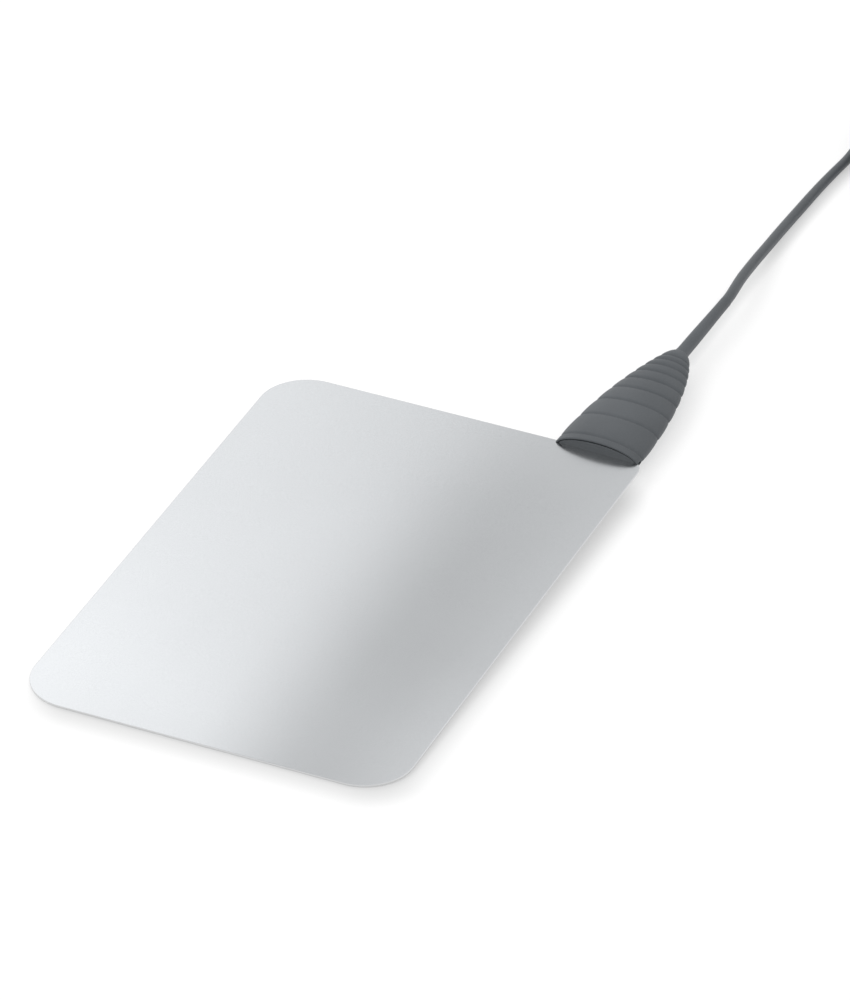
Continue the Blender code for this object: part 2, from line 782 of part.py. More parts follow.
def cable_tail(coil_frame, material):
    """The free end of the cable, which comes down beside the coil and runs into the plug."""
    bpy.context.view_layer.update()
    centre = coil_frame.matrix_world.translation
    end = (PLUG_PLACE[0], PLUG_PLACE[1] + GAP, GRIP_RADIUS)
    points = [(centre.x + x, centre.y + y, z) for x, y, z in (*TAIL_ROUTE, end)]
    return tube("cable_tail", smooth_route(points, 0.8 * CABLE_POINT_SPACING), material)


def strain_relief(material, plug_frame):
    """The plug's tapered tail, with grooves all round, a tenon and a flange that the grip holds."""
    length, depth = RELIEF_LENGTH, RELIEF_GROOVE_DEPTH
    bore = CABLE_HOLE_RADIUS

    def radius(height):
        return RELIEF_REAR_RADIUS + (RELIEF_FRONT_RADIUS - RELIEF_REAR_RADIUS) * height / length

    profile = [(bore, FLANGE_END), (TENON_FLANGE_RADIUS, FLANGE_END), (TENON_FLANGE_RADIUS, FLANGE_START)]
    profile += [(TENON_RADIUS, FLANGE_START), (TENON_RADIUS, length), (radius(length), length)]
    step = length / (RELIEF_RIB_COUNT + 1)
    for number in range(RELIEF_RIB_COUNT, 0, -1):
        groove = number * step
        wide = step * 0.22
        profile += [
            (radius(groove + wide), groove + wide),
            (radius(groove) - depth, groove + 0.4 * wide),
            (radius(groove) - depth, groove - 0.4 * wide),
            (radius(groove - wide), groove - wide),
        ]
    profile += [(RELIEF_REAR_RADIUS, 0.0004), (RELIEF_REAR_RADIUS - 0.0004, 0.0), (bore, 0.0)]
    return turned("plug_strain_relief", profile, material, plug_frame)


def plug_grip(material, plug_frame):
    """The plug's moulded body: a hollow barrel with finger grooves and a flat shoulder round the jack."""
    rounding = 0.0007
    start, end = GRIP_START, GRIP_END
    swell = start + 0.30 * GRIP_LENGTH
    profile = [
        (JACK_RADIUS + GAP, end),
        (GRIP_RADIUS - rounding, end),
        (GRIP_RADIUS - 0.3 * rounding, end - 0.3 * rounding),
        (GRIP_RADIUS, end - rounding),
    ]
    step = (end - rounding - swell) / (GRIP_GROOVE_COUNT + 1)
    for number in range(GRIP_GROOVE_COUNT):
        groove = end - rounding - (number + 1) * step
        profile += [
            (GRIP_RADIUS, groove + 0.28 * step),
            (GRIP_RADIUS - GRIP_GROOVE_DEPTH, groove + 0.1 * step),
            (GRIP_RADIUS - GRIP_GROOVE_DEPTH, groove - 0.1 * step),
            (GRIP_RADIUS, groove - 0.28 * step),
        ]
    profile += [
        (GRIP_RADIUS - 0.0002, swell - 0.2 * step),
        (GRIP_REAR_RADIUS, start + rounding),
        (GRIP_REAR_RADIUS - rounding, start),
        (TENON_RADIUS + GAP, start),
        (TENON_RADIUS + GAP, GRIP_CAVITY_START),
        (GRIP_CAVITY_RADIUS, GRIP_CAVITY_START),
        (GRIP_CAVITY_RADIUS, GRIP_CAVITY_END),
        (JACK_RADIUS + GAP, GRIP_CAVITY_END),
    ]
    return turned("plug_grip", profile, material, plug_frame)


def plug_sleeve(material, plug_frame):
    """The jack's long outer contact, with the flange that the grip traps."""
    edge = 0.00015
    profile = [
        (JACK_BORE_RADIUS, SLEEVE_END),
        (JACK_RADIUS - edge, SLEEVE_END),
        (JACK_RADIUS, SLEEVE_END - edge),
        (JACK_RADIUS, JACK_FLANGE_END),
        (JACK_FLANGE_RADIUS, JACK_FLANGE_END),
        (JACK_FLANGE_RADIUS, JACK_FLANGE_START),
        (JACK_BORE_RADIUS, JACK_FLANGE_START),
    ]
    return turned("plug_sleeve", profile, material, plug_frame)


def bush(name, radius, start, length, material, plug_frame):
    """A plain insulating ring round the tip contact's rod."""
    bore = ROD_RADIUS + GAP
    end = start + length
    profile = [(bore, end), (radius, end), (radius, start), (bore, start)]
    return turned(name, profile, material, plug_frame)


def plug_tip(material, plug_frame):
    """The jack's tip contact: a ball nose and waist on a long rod that ends in a solder cup."""
    r, start, length = JACK_RADIUS, TIP_START, JACK_TIP_LENGTH
    cup_bore = CONDUCTOR_RADIUS + GAP
    profile = [
        (0.0, start + length),
        (0.30 * r, start + 0.965 * length),
        (0.60 * r, start + 0.86 * length),
        (0.97 * r, start + 0.64 * length),
        (1.00 * r, start + 0.56 * length),
        (0.97 * r, start + 0.49 * length),
        (0.78 * r, start + 0.24 * length),
        (0.82 * r, start + 0.14 * length),
        (0.88 * r, start + 0.10 * length),
        (0.88 * r, start),
        (ROD_RADIUS, start),
        (ROD_RADIUS, CUP_END),
        (ROD_CUP_RADIUS, CUP_END),
        (ROD_CUP_RADIUS, CUP_START),
        (cup_bore, CUP_START),
        (cup_bore, CUP_END - 0.001),
        (0.0, CUP_END - 0.001),
    ]
    return turned("plug_tip", profile, material, plug_frame)


def build():
    clear_scene()
    steel = finish("satin_steel", (0.72, 0.73, 0.74), 0.30, 1.0)
    boot_rubber = finish("boot_rubber", (0.115, 0.125, 0.132), 0.55)
    insert_plastic = finish("insert_plastic", (0.055, 0.060, 0.064), 0.55)
    jacket = finish("cable_jacket", (0.105, 0.115, 0.122), 0.50)
    tinned = finish("tinned_copper", (0.66, 0.65, 0.63), 0.35, 1.0)
    copper = finish("copper", (0.78, 0.40, 0.25), 0.35, 1.0)
    nickel = finish("nickel", (0.70, 0.69, 0.66), 0.20, 1.0)
    insulator = finish("insulator", (0.03, 0.03, 0.032), 0.40)
    strap = finish("tie_strap", (0.05, 0.053, 0.057), 0.85)

    lift = HALF_PLATE * math.cos(TILT)
    plate_frame = anchor("plate_frame", None, (0, NEAR_EDGE_Y, lift), (TILT, 0, 0))
    boot_frame = anchor("boot_frame", plate_frame, (BOOT_X, BOOT_MOUTH_Y, 0), (0, 0, -BOOT_TURN))
    boot_axis = along_boot(boot_frame, "boot_axis")

    reach = BOOT_WIDTH / 2 + 0.004
    thick = HALF_PLATE + GAP
    plate_slot = block(
        "plate_slot",
        (BOOT_X - reach, BOOT_MOUTH_Y - 0.002, -thick),
        (BOOT_X + reach, PLATE_LENGTH + GAP, thick),
        plate_frame,
    )
    through = 2 * PLATE_THICKNESS
    low, high = (0, RIVET_PLACE, -through), (0, RIVET_PLACE, through)
    holes = [rod("hole_rivet", HOLE_RADIUS, low, high, boot_frame, 24)]
    for number, (x, y) in enumerate(peg_places()):
        low, high = (x, y, -through), (x, y, through)
        holes.append(rod(f"hole_peg_{number}", PEG_RADIUS + GAP, low, high, boot_frame, 20))

    electrode_plate(steel, plate_frame, holes)
    boot(boot_rubber, boot_frame, plate_slot)
    pockets = shared_pockets(boot_frame, plate_frame, plate_slot)
    upper = insert_half("insert_upper", 1, insert_plastic, boot_frame, pockets + upper_pockets(boot_frame))
    insert_half("insert_lower", -1, insert_plastic, boot_frame, pockets + lower_pockets(boot_frame))
    pegs = [
        rod(f"peg_{number}", PEG_RADIUS, (x, y, PEG_DEPTH), (x, y, -PEG_DEPTH), boot_frame, 20)
        for number, (x, y) in enumerate(peg_places())
    ]
    combine(upper, pegs, "UNION")

    rivet(steel, boot_frame)
    ring_terminal(tinned, boot_frame)
    bare_start = BARREL_START + BARREL_FLOOR + GAP
    pin("boot_conductor_end", CONDUCTOR_RADIUS, bare_start, JACKET_START - GAP, copper, boot_axis, 16)
    jacket_end("boot_cable_end", JACKET_START, FERRULE_START, NECK_END, jacket, boot_axis)
    ferrule("boot_ferrule", FERRULE_START, tinned, boot_axis)

    leave = exit_point(boot_frame)
    cable(leave, jacket)
    coil_centre = (
        leave.x + COIL_ENTRY[0] + COIL_OUTER_RADIUS - CABLE_RADIUS,
        leave.y + COIL_ENTRY[1],
        0.0,
    )
    coil_frame = anchor("coil_frame", None, coil_centre)
    cable_coil(coil_frame, jacket)
    for name, angle in TIE_ANGLES.items():
        coil_tie(name, angle, strap, coil_frame)
    cable_tail(coil_frame, jacket)

    plug_frame = anchor("plug_frame", coil_frame, (*PLUG_PLACE, GRIP_RADIUS), (math.pi / 2, 0, 0))
    strain_relief(boot_rubber, plug_frame)
    plug_grip(boot_rubber, plug_frame)
    plug_sleeve(nickel, plug_frame)
    bush("plug_insulator", 0.92 * JACK_RADIUS, RING_START, JACK_RING_LENGTH, insulator, plug_frame)
    plug_tip(nickel, plug_frame)
    bush("plug_rear_bush", 0.93 * JACK_FLANGE_RADIUS, BUSH_START, BUSH_LENGTH, insulator, plug_frame)
    pin(
        "plug_conductor_end",
        CONDUCTOR_RADIUS,
        PLUG_JACKET_END + GAP,
        CUP_END - 0.001 - GAP,
        copper,
        plug_frame,
        16,
    )
    jacket_end("plug_cable_end", 0.0, PLUG_FERRULE_START, PLUG_JACKET_END, jacket, plug_frame)
    ferrule("plug_ferrule", PLUG_FERRULE_START, tinned, plug_frame)


build()
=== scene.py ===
"""The looks of a reusable return electrode: a satin steel plate, a ringed rubber boot and its lead.

Lengths are in metres, in the part's own frame: +X across the plate, +Y along it towards the boot, +Z up from
the floor.
"""

import math

import bmesh
import bpy
import numpy as np
from mathutils import Matrix, Quaternion, Vector


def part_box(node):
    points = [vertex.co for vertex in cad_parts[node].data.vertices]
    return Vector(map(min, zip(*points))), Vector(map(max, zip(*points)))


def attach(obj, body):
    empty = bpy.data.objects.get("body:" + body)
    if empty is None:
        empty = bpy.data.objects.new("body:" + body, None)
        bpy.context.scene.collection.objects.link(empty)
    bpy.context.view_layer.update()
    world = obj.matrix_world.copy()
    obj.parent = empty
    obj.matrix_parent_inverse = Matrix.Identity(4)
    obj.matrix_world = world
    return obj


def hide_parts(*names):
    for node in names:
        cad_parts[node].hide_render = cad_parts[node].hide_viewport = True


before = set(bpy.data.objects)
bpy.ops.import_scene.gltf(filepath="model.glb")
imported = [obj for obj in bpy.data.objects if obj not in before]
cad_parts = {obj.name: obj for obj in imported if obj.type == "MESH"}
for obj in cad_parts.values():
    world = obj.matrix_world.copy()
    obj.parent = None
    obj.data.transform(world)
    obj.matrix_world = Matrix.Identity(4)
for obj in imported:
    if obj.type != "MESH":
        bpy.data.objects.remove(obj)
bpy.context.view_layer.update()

MM = 0.001
MERGE_DISTANCE = 0.002 * MM
BODY = "root"

# The plate and its tab, which reaches into the boot. Its upper edge rolls over, and its lower edge is round.
PLATE_WIDTH = 158.0 * MM
PLATE_LENGTH = 240.0 * MM
PLATE_THICKNESS = 1.0 * MM
PLATE_CORNER_RADIUS = 20.0 * MM
PLATE_SHOULDER_RADIUS = 8.0 * MM
TAB_WIDTH = 26.0 * MM
TAB_LENGTH = 16.0 * MM
TAB_FILLET = 1.5 * MM
RIVET_PLACE = 9.5 * MM
RIVET_HOLE_RADIUS = 1.7 * MM
PEG_SPACING = 17.0 * MM
PEG_HOLE_RADIUS = 1.5 * MM
EDGE_ROLL = 0.4 * MM
EDGE_DROP = 0.02 * MM
EDGE_BREAK = 0.12 * MM
EDGE_BREAK_MIDDLE = (0.035 * MM, 0.03 * MM)
EDGE_ROUNDING_BELOW = 0.25 * MM

# The boot and the oval bore that it has up to its throat.
BOOT_LENGTH = 78.0 * MM
BOOT_WIDTH = 36.0 * MM
BOOT_HEIGHT = 11.2 * MM
BOOT_TIP_WIDTH = 6.6 * MM
BOOT_TIP_HEIGHT = 5.6 * MM
BOOT_OVERLAP = 2.5 * MM
BOOT_INSET = 20.2 * MM
BOOT_TURN = math.radians(2.0)
BOOT_WALL = 1.2 * MM
BOOT_EDGE_ROUNDING = 0.6 * MM
BOOT_SIDES = 120
CAVITY_LENGTH = 38.3 * MM
THROAT_PLACE = 60.0 * MM
SLOT_GAP = 0.12 * MM
SLOT_REACH = 0.15 * MM

# Its lip, which arches forward above and below, and its rings, each shorter than the one before.
LIP_LENGTH = 4.4 * MM
LIP_RIM = 0.62 * MM
LIP_FLARE = 0.4 * MM
LIP_ROUNDING = 0.55 * MM
LIP_ARCH = 0.7 * MM
FIRST_RING_LENGTH = 15.9 * MM
RING_SHORTENING = 0.805
RING_COUNT = 8
RING_SWELL = 0.24 * MM
GROOVE_DEPTH = 0.52 * MM
GROOVE_STEEP_SIDE = 0.42 * MM
GROOVE_EASY_SIDE = 0.9 * MM
LAST_GROOVE_MARGIN = 1.2 * MM

# Its neck, which closes onto the lead.
NECK_LENGTH = 44.0 * MM
NECK_RADIUS = 2.75 * MM
NECK_END_RADIUS = 2.6 * MM
NECK_FILLET = 5.0 * MM
NECK_CLOSING = 34.0 * MM
NECK_END_WALL = 0.1 * MM
NECK_GAP = 0.05 * MM

# The inserts' front ends in the boot's mouth, and how far their clamp faces lie from the plate's middle.
INSERT_RECESS = 0.5 * MM
FRONT_ROUNDING = 0.25 * MM
FRONT_LENGTH = 3.0 * MM
FRONT_CLEARANCE = 0.1 * MM
CLAMP_FACE = 0.8 * MM
CLAMP_BITE = 0.01 * MM

# The lead, drawn fuller as far as the picture shows it. Its route is measured from the neck's end.
CABLE_RADIUS = 2.0 * MM
LEAD_FULL_RADIUS = 2.2 * MM
LEAD_FULL_REACH = (85.0 * MM, 135.0 * MM)
LEAD_STEP = 1.6 * MM
LEAD_ROUTE = (
    (0.00000, 0.00000, 0.00820),
    (-0.00005, 0.00500, 0.00829),
    (-0.00060, 0.01150, 0.00820),
    (-0.00145, 0.02000, 0.00765),
    (-0.00195, 0.02700, 0.00695),
    (-0.00275, 0.04000, 0.00545),
    (-0.00330, 0.05300, 0.00400),
    (-0.00365, 0.06600, 0.00300),
    (-0.00365, 0.07800, 0.00235),
    (-0.00335, 0.09000, 0.00210),
    (-0.00295, 0.10050, 0.00210),
    (-0.00240, 0.11100, 0.00210),
    (-0.00155, 0.12200, 0.00210),
    (-0.00045, 0.13300, 0.00230),
    (0.00026, 0.14104, 0.00280),
)

# The coil, and the route of the tail from it to the plug, with points measured from the coil's middle.
COIL_TURN_PITCH = 4.05 * MM
COIL_LAYERS = 4
COIL_TURNS_PER_LAYER = 4.5625
COIL_MIDDLE_RADIUS = 23.5 * MM
COIL_FIRST_HEIGHT = 3.2 * MM
COIL_POINTS_PER_TURN = 60
COIL_FOLD_SOFTNESS = 0.004
COIL_CLIMB_TURNS = 0.36
COIL_BLEND_POINTS = 9
COIL_LEAVING = ((0.0075, 0.0003, 0.0), (0.0152, -0.0007, -0.0007))
TAIL_ROUTE = (
    (0.0226, 0.0294, 0.0133),
    (0.0262, 0.0263, 0.0119),
    (0.0321, 0.0186, 0.0084),
    (0.0358, 0.0098, 0.0052),
    (0.0371, 0.0000, 0.0031),
    (0.0371, -0.0095, 0.0022),
    (0.0371, -0.0185, 0.0023),
    (0.0371, -0.0270, 0.0033),
    (0.0371, -0.0350, 0.0050),
    (0.0371, -0.0420, 0.0064),
    (0.0371, -0.0470, 0.00675),
)

# The plug, turned round its axis: each place is measured along it from the tail of its strain relief. A
# groove's side is a share of the distance between grooves, and a flatness over one gives it a flat floor.
PLUG_PLACE = (37.1 * MM, -47.0 * MM)
PLUG_GAP = 0.3 * MM
RELIEF_LENGTH = 24.0 * MM
RELIEF_REAR_RADIUS = 3.1 * MM
RELIEF_FRONT_RADIUS = 4.6 * MM
RELIEF_TAIL_EDGE = ((0.0, 0.5 * MM), (0.12 * MM, 0.16 * MM))
RELIEF_TAIL_ROUNDING = 0.4 * MM
RELIEF_GAP = 0.06 * MM
RELIEF_GROOVES = 4
RELIEF_GROOVE_DEPTH = 0.6 * MM
RELIEF_GROOVE_SIDE = 0.27
RELIEF_GROOVE_FLATNESS = 1.35
TENON_RADIUS = 3.6 * MM
TENON_FLANGE = (27.6 * MM, 29.4 * MM)
GRIP_ENDS = (24.3 * MM, 56.3 * MM)
GRIP_CAVITY = (27.3 * MM, 49.3 * MM)
GRIP_RADIUS = 6.75 * MM
GRIP_REAR_RADIUS = 5.6 * MM
GRIP_REAR_SHARE = 0.30
GRIP_CAVITY_RADIUS = 5.0 * MM
GRIP_GROOVES = 4
GRIP_GROOVE_DEPTH = 0.5 * MM
GRIP_GROOVE_SIDE = 0.34
GRIP_GROOVE_FLATNESS = 1.25
GRIP_ROUNDING = 0.9 * MM
JACK_RADIUS = 3.175 * MM
JACK_BORE_RADIUS = 1.9 * MM
JACK_CHAMFER = 0.2 * MM
JACK_FLANGE = (46.6 * MM, 49.0 * MM)
JACK_FLANGE_RADIUS = 4.6 * MM
JACK_ROD_RADIUS = 1.2 * MM
JACK_CUP_RADIUS = 1.7 * MM
JACK_CUP = (39.5 * MM, 44.0 * MM)
CUP_BORE_RADIUS = 1.1 * MM
CUP_FLOOR = 1.0 * MM
SLEEVE_END = 80.0 * MM
INSULATOR_ENDS = (80.3 * MM, 81.5 * MM)
INSULATOR_OVERLAP = 0.28 * MM
INSULATOR_STEP = 0.05 * MM
JACK_TIP_ENDS = (81.8 * MM, 87.3 * MM)

# The jack's tip, as shares of its length and of the jack's radius: a collar, a waist, a ball and a nose.
JACK_TIP_SHAPE = (
    (0.00, 0.88), (0.10, 0.88), (0.17, 0.80), (0.27, 0.76), (0.40, 0.88),
    (0.52, 1.00), (0.64, 0.97), (0.80, 0.74), (0.93, 0.46), (1.00, 0.24),
)

# The straps round the coil: their places round it, and where on them the free end laps over the loop.
STRAP_ANGLES = {"coil_tie_left": math.radians(135), "coil_tie_front": math.radians(285)}
STRAP_WIDTH = 7.0 * MM
STRAP_THICKNESS = 0.9 * MM
STRAP_EDGE = 0.22 * MM
STRAP_GAP = 0.3 * MM
STRAP_CORNER_RADIUS = 2.6 * MM
STRAP_LAP = (3.5 * MM, 24.5 * MM)
STRAP_LAP_GAP = 0.04 * MM
STRAP_STEPS = 180

# The camera of the photograph: its angle, its distance, and the point on the floor that it looks at, which
# is measured from the middle of the plate's near edge.
CAMERA_TURN = math.radians(24.2)
CAMERA_RISE = math.radians(33.606)
CAMERA_ROLL = math.radians(0.411)
CAMERA_DISTANCE = 3.2109
CAMERA_TARGET = (7.60 * MM, 187.28 * MM, 0.0)
CAMERA_LENS = 295.2
CAMERA_SENSOR = 36.0

# The floor, and the soft shadows painted into its colour and glow beside the plate and the lead: how far
# each painted shadow is moved, where it fades, and the tone at its darkest.
FLOOR_HALF_WIDTH = 6.0
FLOOR_GAP = 0.02 * MM
FLOOR_ALBEDO = 0.45
FLOOR_GLOW = 0.56
PAINTED_SHADOW_SHIFT = (6.0 * MM, -8.0 * MM)
PAINTED_SHADOW_FADE = (-10.0 * MM, 8.5 * MM)
PAINTED_SHADOW_DEPTH = 0.74
LEAD_PAINTED_SHADOW_SHIFT = (3.0 * MM, -1.5 * MM)
LEAD_PAINTED_SHADOW_FADE = (1.0 * MM, 7.0 * MM)
LEAD_PAINTED_SHADOW_DEPTH = 0.83

# The card that the plate mirrors: its glow, and how deep its dark band is, as (place, level) stops. A place
# is in millimetres, across the plate from its left edge or along it from its near edge.
CARD_HALF_WIDTH = 0.19
CARD_HALF_LENGTH = 0.23
CARD_HEIGHT = 0.15
CARD_TINT = (0.982, 1.0, 1.018, 1.0)
CARD_GLOW = 1.62
GLOW_ACROSS = ((-108, 0.62), (-70, 0.78), (-20, 0.87), (20, 0.805), (80, 0.745), (160, 0.62), (220, 0.75))
GLOW_ALONG = ((-105, 0.68), (-60, 0.83), (0, 0.965), (60, 0.845), (240, 0.735), (290, 0.745), (345, 0.68))
BAND_ACROSS = (
    (78, 0.0), (92, 0.12), (106, 0.32), (120, 0.41), (130, 0.40), (145, 0.265), (175, 0.115), (220, 0.0),
)
BAND_ALONG = ((-40, 0.98), (100, 1.06), (150, 0.95), (215, 0.54), (250, 0.36))

SKY_LEVEL = 0.86
LAMP_TARGET = (0.02, 0.05, 0.0)
LAMP_POWER = 14.0

TILT = math.asin(
    (BOOT_HEIGHT / 2 - PLATE_THICKNESS / 2) / (PLATE_LENGTH - BOOT_OVERLAP + BOOT_EDGE_ROUNDING)
)
NEAR_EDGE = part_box("electrode_plate")[0].y
PLATE_FRAME = (
    Matrix.Translation((0, NEAR_EDGE, PLATE_THICKNESS / 2 * math.cos(TILT)))
    @ Matrix.Rotation(TILT, 4, "X")
)
BOOT_FRAME = (
    PLATE_FRAME
    @ Matrix.Translation((PLATE_WIDTH / 2 - BOOT_INSET, PLATE_LENGTH - BOOT_OVERLAP, 0))
    @ Matrix.Rotation(-BOOT_TURN, 4, "Z")
)
LEAVE = BOOT_FRAME @ Vector((0, BOOT_LENGTH + NECK_LENGTH, 0))


class Nodes:
    """Builds one node material, with short calls for the nodes that these finishes use."""

    def __init__(self, name):
        self.material = bpy.data.materials.new(name)
        self.material.use_nodes = True
        self.tree = self.material.node_tree
        self.shader = self.tree.nodes["Principled BSDF"]
        self.place = self.add("ShaderNodeTexCoord").outputs["Object"]

    def add(self, kind, **values):
        """Adds a node of a kind and sets its values."""
        node = self.tree.nodes.new(kind)
        for key, value in values.items():
            setattr(node, key, value)
        return node

    def put(self, target, source):
        """Links a socket to its source, or sets it to a plain value."""
        if isinstance(source, bpy.types.NodeSocket):
            self.tree.links.new(source, target)
        else:
            target.default_value = source

    def stretched(self, scale):
        """The object's coordinates, each times its own scale."""
        node = self.add("ShaderNodeMapping")
        node.inputs["Scale"].default_value = scale
        self.put(node.inputs["Vector"], self.place)
        return node.outputs["Vector"]

    def noise(self, scale, detail=4.0, roughness=0.55, source=None):
        """Noise from 0 to 1, finer with a larger scale."""
        node = self.add("ShaderNodeTexNoise")
        node.inputs["Scale"].default_value = scale
        node.inputs["Detail"].default_value = detail
        node.inputs["Roughness"].default_value = roughness
        self.put(node.inputs["Vector"], source or self.place)
        return node.outputs["Fac"]

    def ramp(self, value, stops):
        """Maps a value through (place, level) stops, where a level is a grey or a colour."""
        node = self.add("ShaderNodeValToRGB")
        band = node.color_ramp
        while len(band.elements) < len(stops):
            band.elements.new(0.5)
        for element, (at, level) in zip(band.elements, stops):
            element.position = at
            element.color = (level, level, level, 1) if isinstance(level, float) else (*level, 1)
        self.put(node.inputs["Fac"], value)
        return node.outputs["Color"]

    def sums(self, first, second, how="ADD"):
        """Works out one sum of two values."""
        node = self.add("ShaderNodeMath", operation=how)
        self.put(node.inputs[0], first)
        self.put(node.inputs[1], second)
        return node.outputs[0]

    def bump(self, height, strength, distance):
        """The normal of a surface with a relief as high as the distance."""
        node = self.add("ShaderNodeBump")
        node.inputs["Strength"].default_value = strength
        node.inputs["Distance"].default_value = distance
        self.put(node.inputs["Height"], height)
        return node.outputs["Normal"]

    def finish(self, **sockets):
        """Sets the shader's own sockets by name, with _ for a space."""
        for name, value in sockets.items():
            self.put(self.shader.inputs[name.replace("_", " ")], value)
        return self.material


def satin_steel():
    """Bead-blasted stainless sheet: a fine even grain, faint clouding and a few handling marks."""
    n = Nodes("satin_steel")
    grain = n.noise(2600, 2.0, 0.7)
    cloud = n.noise(9, 3.0)
    marks = n.noise(60, 6.0, source=n.stretched((1, 0.12, 1)))
    colour = n.ramp(n.sums(n.sums(grain, 0.75, "MULTIPLY"), n.sums(cloud, 0.25, "MULTIPLY")), [
        (0.30, (0.70, 0.705, 0.71)),
        (0.70, (0.80, 0.805, 0.81)),
    ])
    rough = n.sums(n.ramp(marks, [(0.35, 0.215), (0.65, 0.23)]), n.ramp(cloud, [(0.3, 0.0), (0.7, 0.01)]))
    normal = n.bump(grain, 0.10, 0.00004)
    return n.finish(Base_Color=colour, Metallic=1.0, Roughness=rough, Normal=normal)


def soft_rubber(name, dark, light, roughness):
    """Moulded rubber: matte, with a fine spark-eroded texture, soft clouding and paler handled places."""
    n = Nodes(name)
    fine = n.noise(1800, 3.0, 0.6)
    cloud = n.noise(35, 4.0)
    colour = n.ramp(n.sums(n.sums(cloud, 0.7, "MULTIPLY"), n.sums(fine, 0.3, "MULTIPLY")), [
        (0.30, dark),
        (0.70, light),
    ])
    rough = n.ramp(cloud, [(0.3, roughness - 0.04), (0.7, roughness + 0.05)])
    normal = n.bump(fine, 0.18, 0.00005)
    return n.finish(Base_Color=colour, Roughness=rough, Normal=normal, Specular_IOR_Level=0.45)


def hard_plastic(name, colour, roughness):
    """Plain moulded plastic with a faint eroded texture."""
    n = Nodes(name)
    fine = n.noise(1500, 3.0)
    shade = n.ramp(fine, [
        (0.3, tuple(0.9 * c for c in colour)),
        (0.7, tuple(1.1 * c for c in colour)),
    ])
    rough = n.ramp(n.noise(60), [(0.3, roughness - 0.05), (0.7, roughness + 0.05)])
    return n.finish(Base_Color=shade, Roughness=rough, Normal=n.bump(fine, 0.1, 0.00004))


def plated(name, colour, roughness):
    """Bright plated metal with fine turning lines round its axis, which runs along Y."""
    n = Nodes(name)
    lines = n.noise(300, 3.0, 0.6, source=n.stretched((0.2, 18, 0.2)))
    cloud = n.noise(80)
    shade = n.ramp(cloud, [
        (0.3, tuple(0.92 * c for c in colour)),
        (0.7, tuple(min(1.04 * c, 1.0) for c in colour)),
    ])
    rough = n.ramp(lines, [(0.3, roughness - 0.04), (0.7, roughness + 0.06)])
    return n.finish(Base_Color=shade, Metallic=1.0, Roughness=rough, Normal=n.bump(lines, 0.08, 0.00003))


def strap_webbing():
    """Black woven hook-and-loop strap: crossed ribs from the strap's own UV map, broken up by a nap."""
    n = Nodes("tie_strap")
    uv = n.add("ShaderNodeTexCoord").outputs["UV"]
    wave = n.add("ShaderNodeTexWave", bands_direction="Y")
    wave.inputs["Scale"].default_value = 4
    wave.inputs["Distortion"].default_value = 0.6
    wave.inputs["Detail"].default_value = 2
    n.put(wave.inputs["Vector"], uv)
    nap = n.noise(900, 5.0, 0.7)
    height = n.sums(wave.outputs["Fac"], nap, "MULTIPLY")
    shade = n.ramp(height, [(0.0, (0.018, 0.019, 0.021)), (0.8, (0.065, 0.068, 0.074))])
    return n.finish(
        Base_Color=shade,
        Roughness=0.9,
        Sheen_Weight=0.35,
        Sheen_Roughness=0.5,
        Normal=n.bump(height, 0.6, 0.0002),
    )


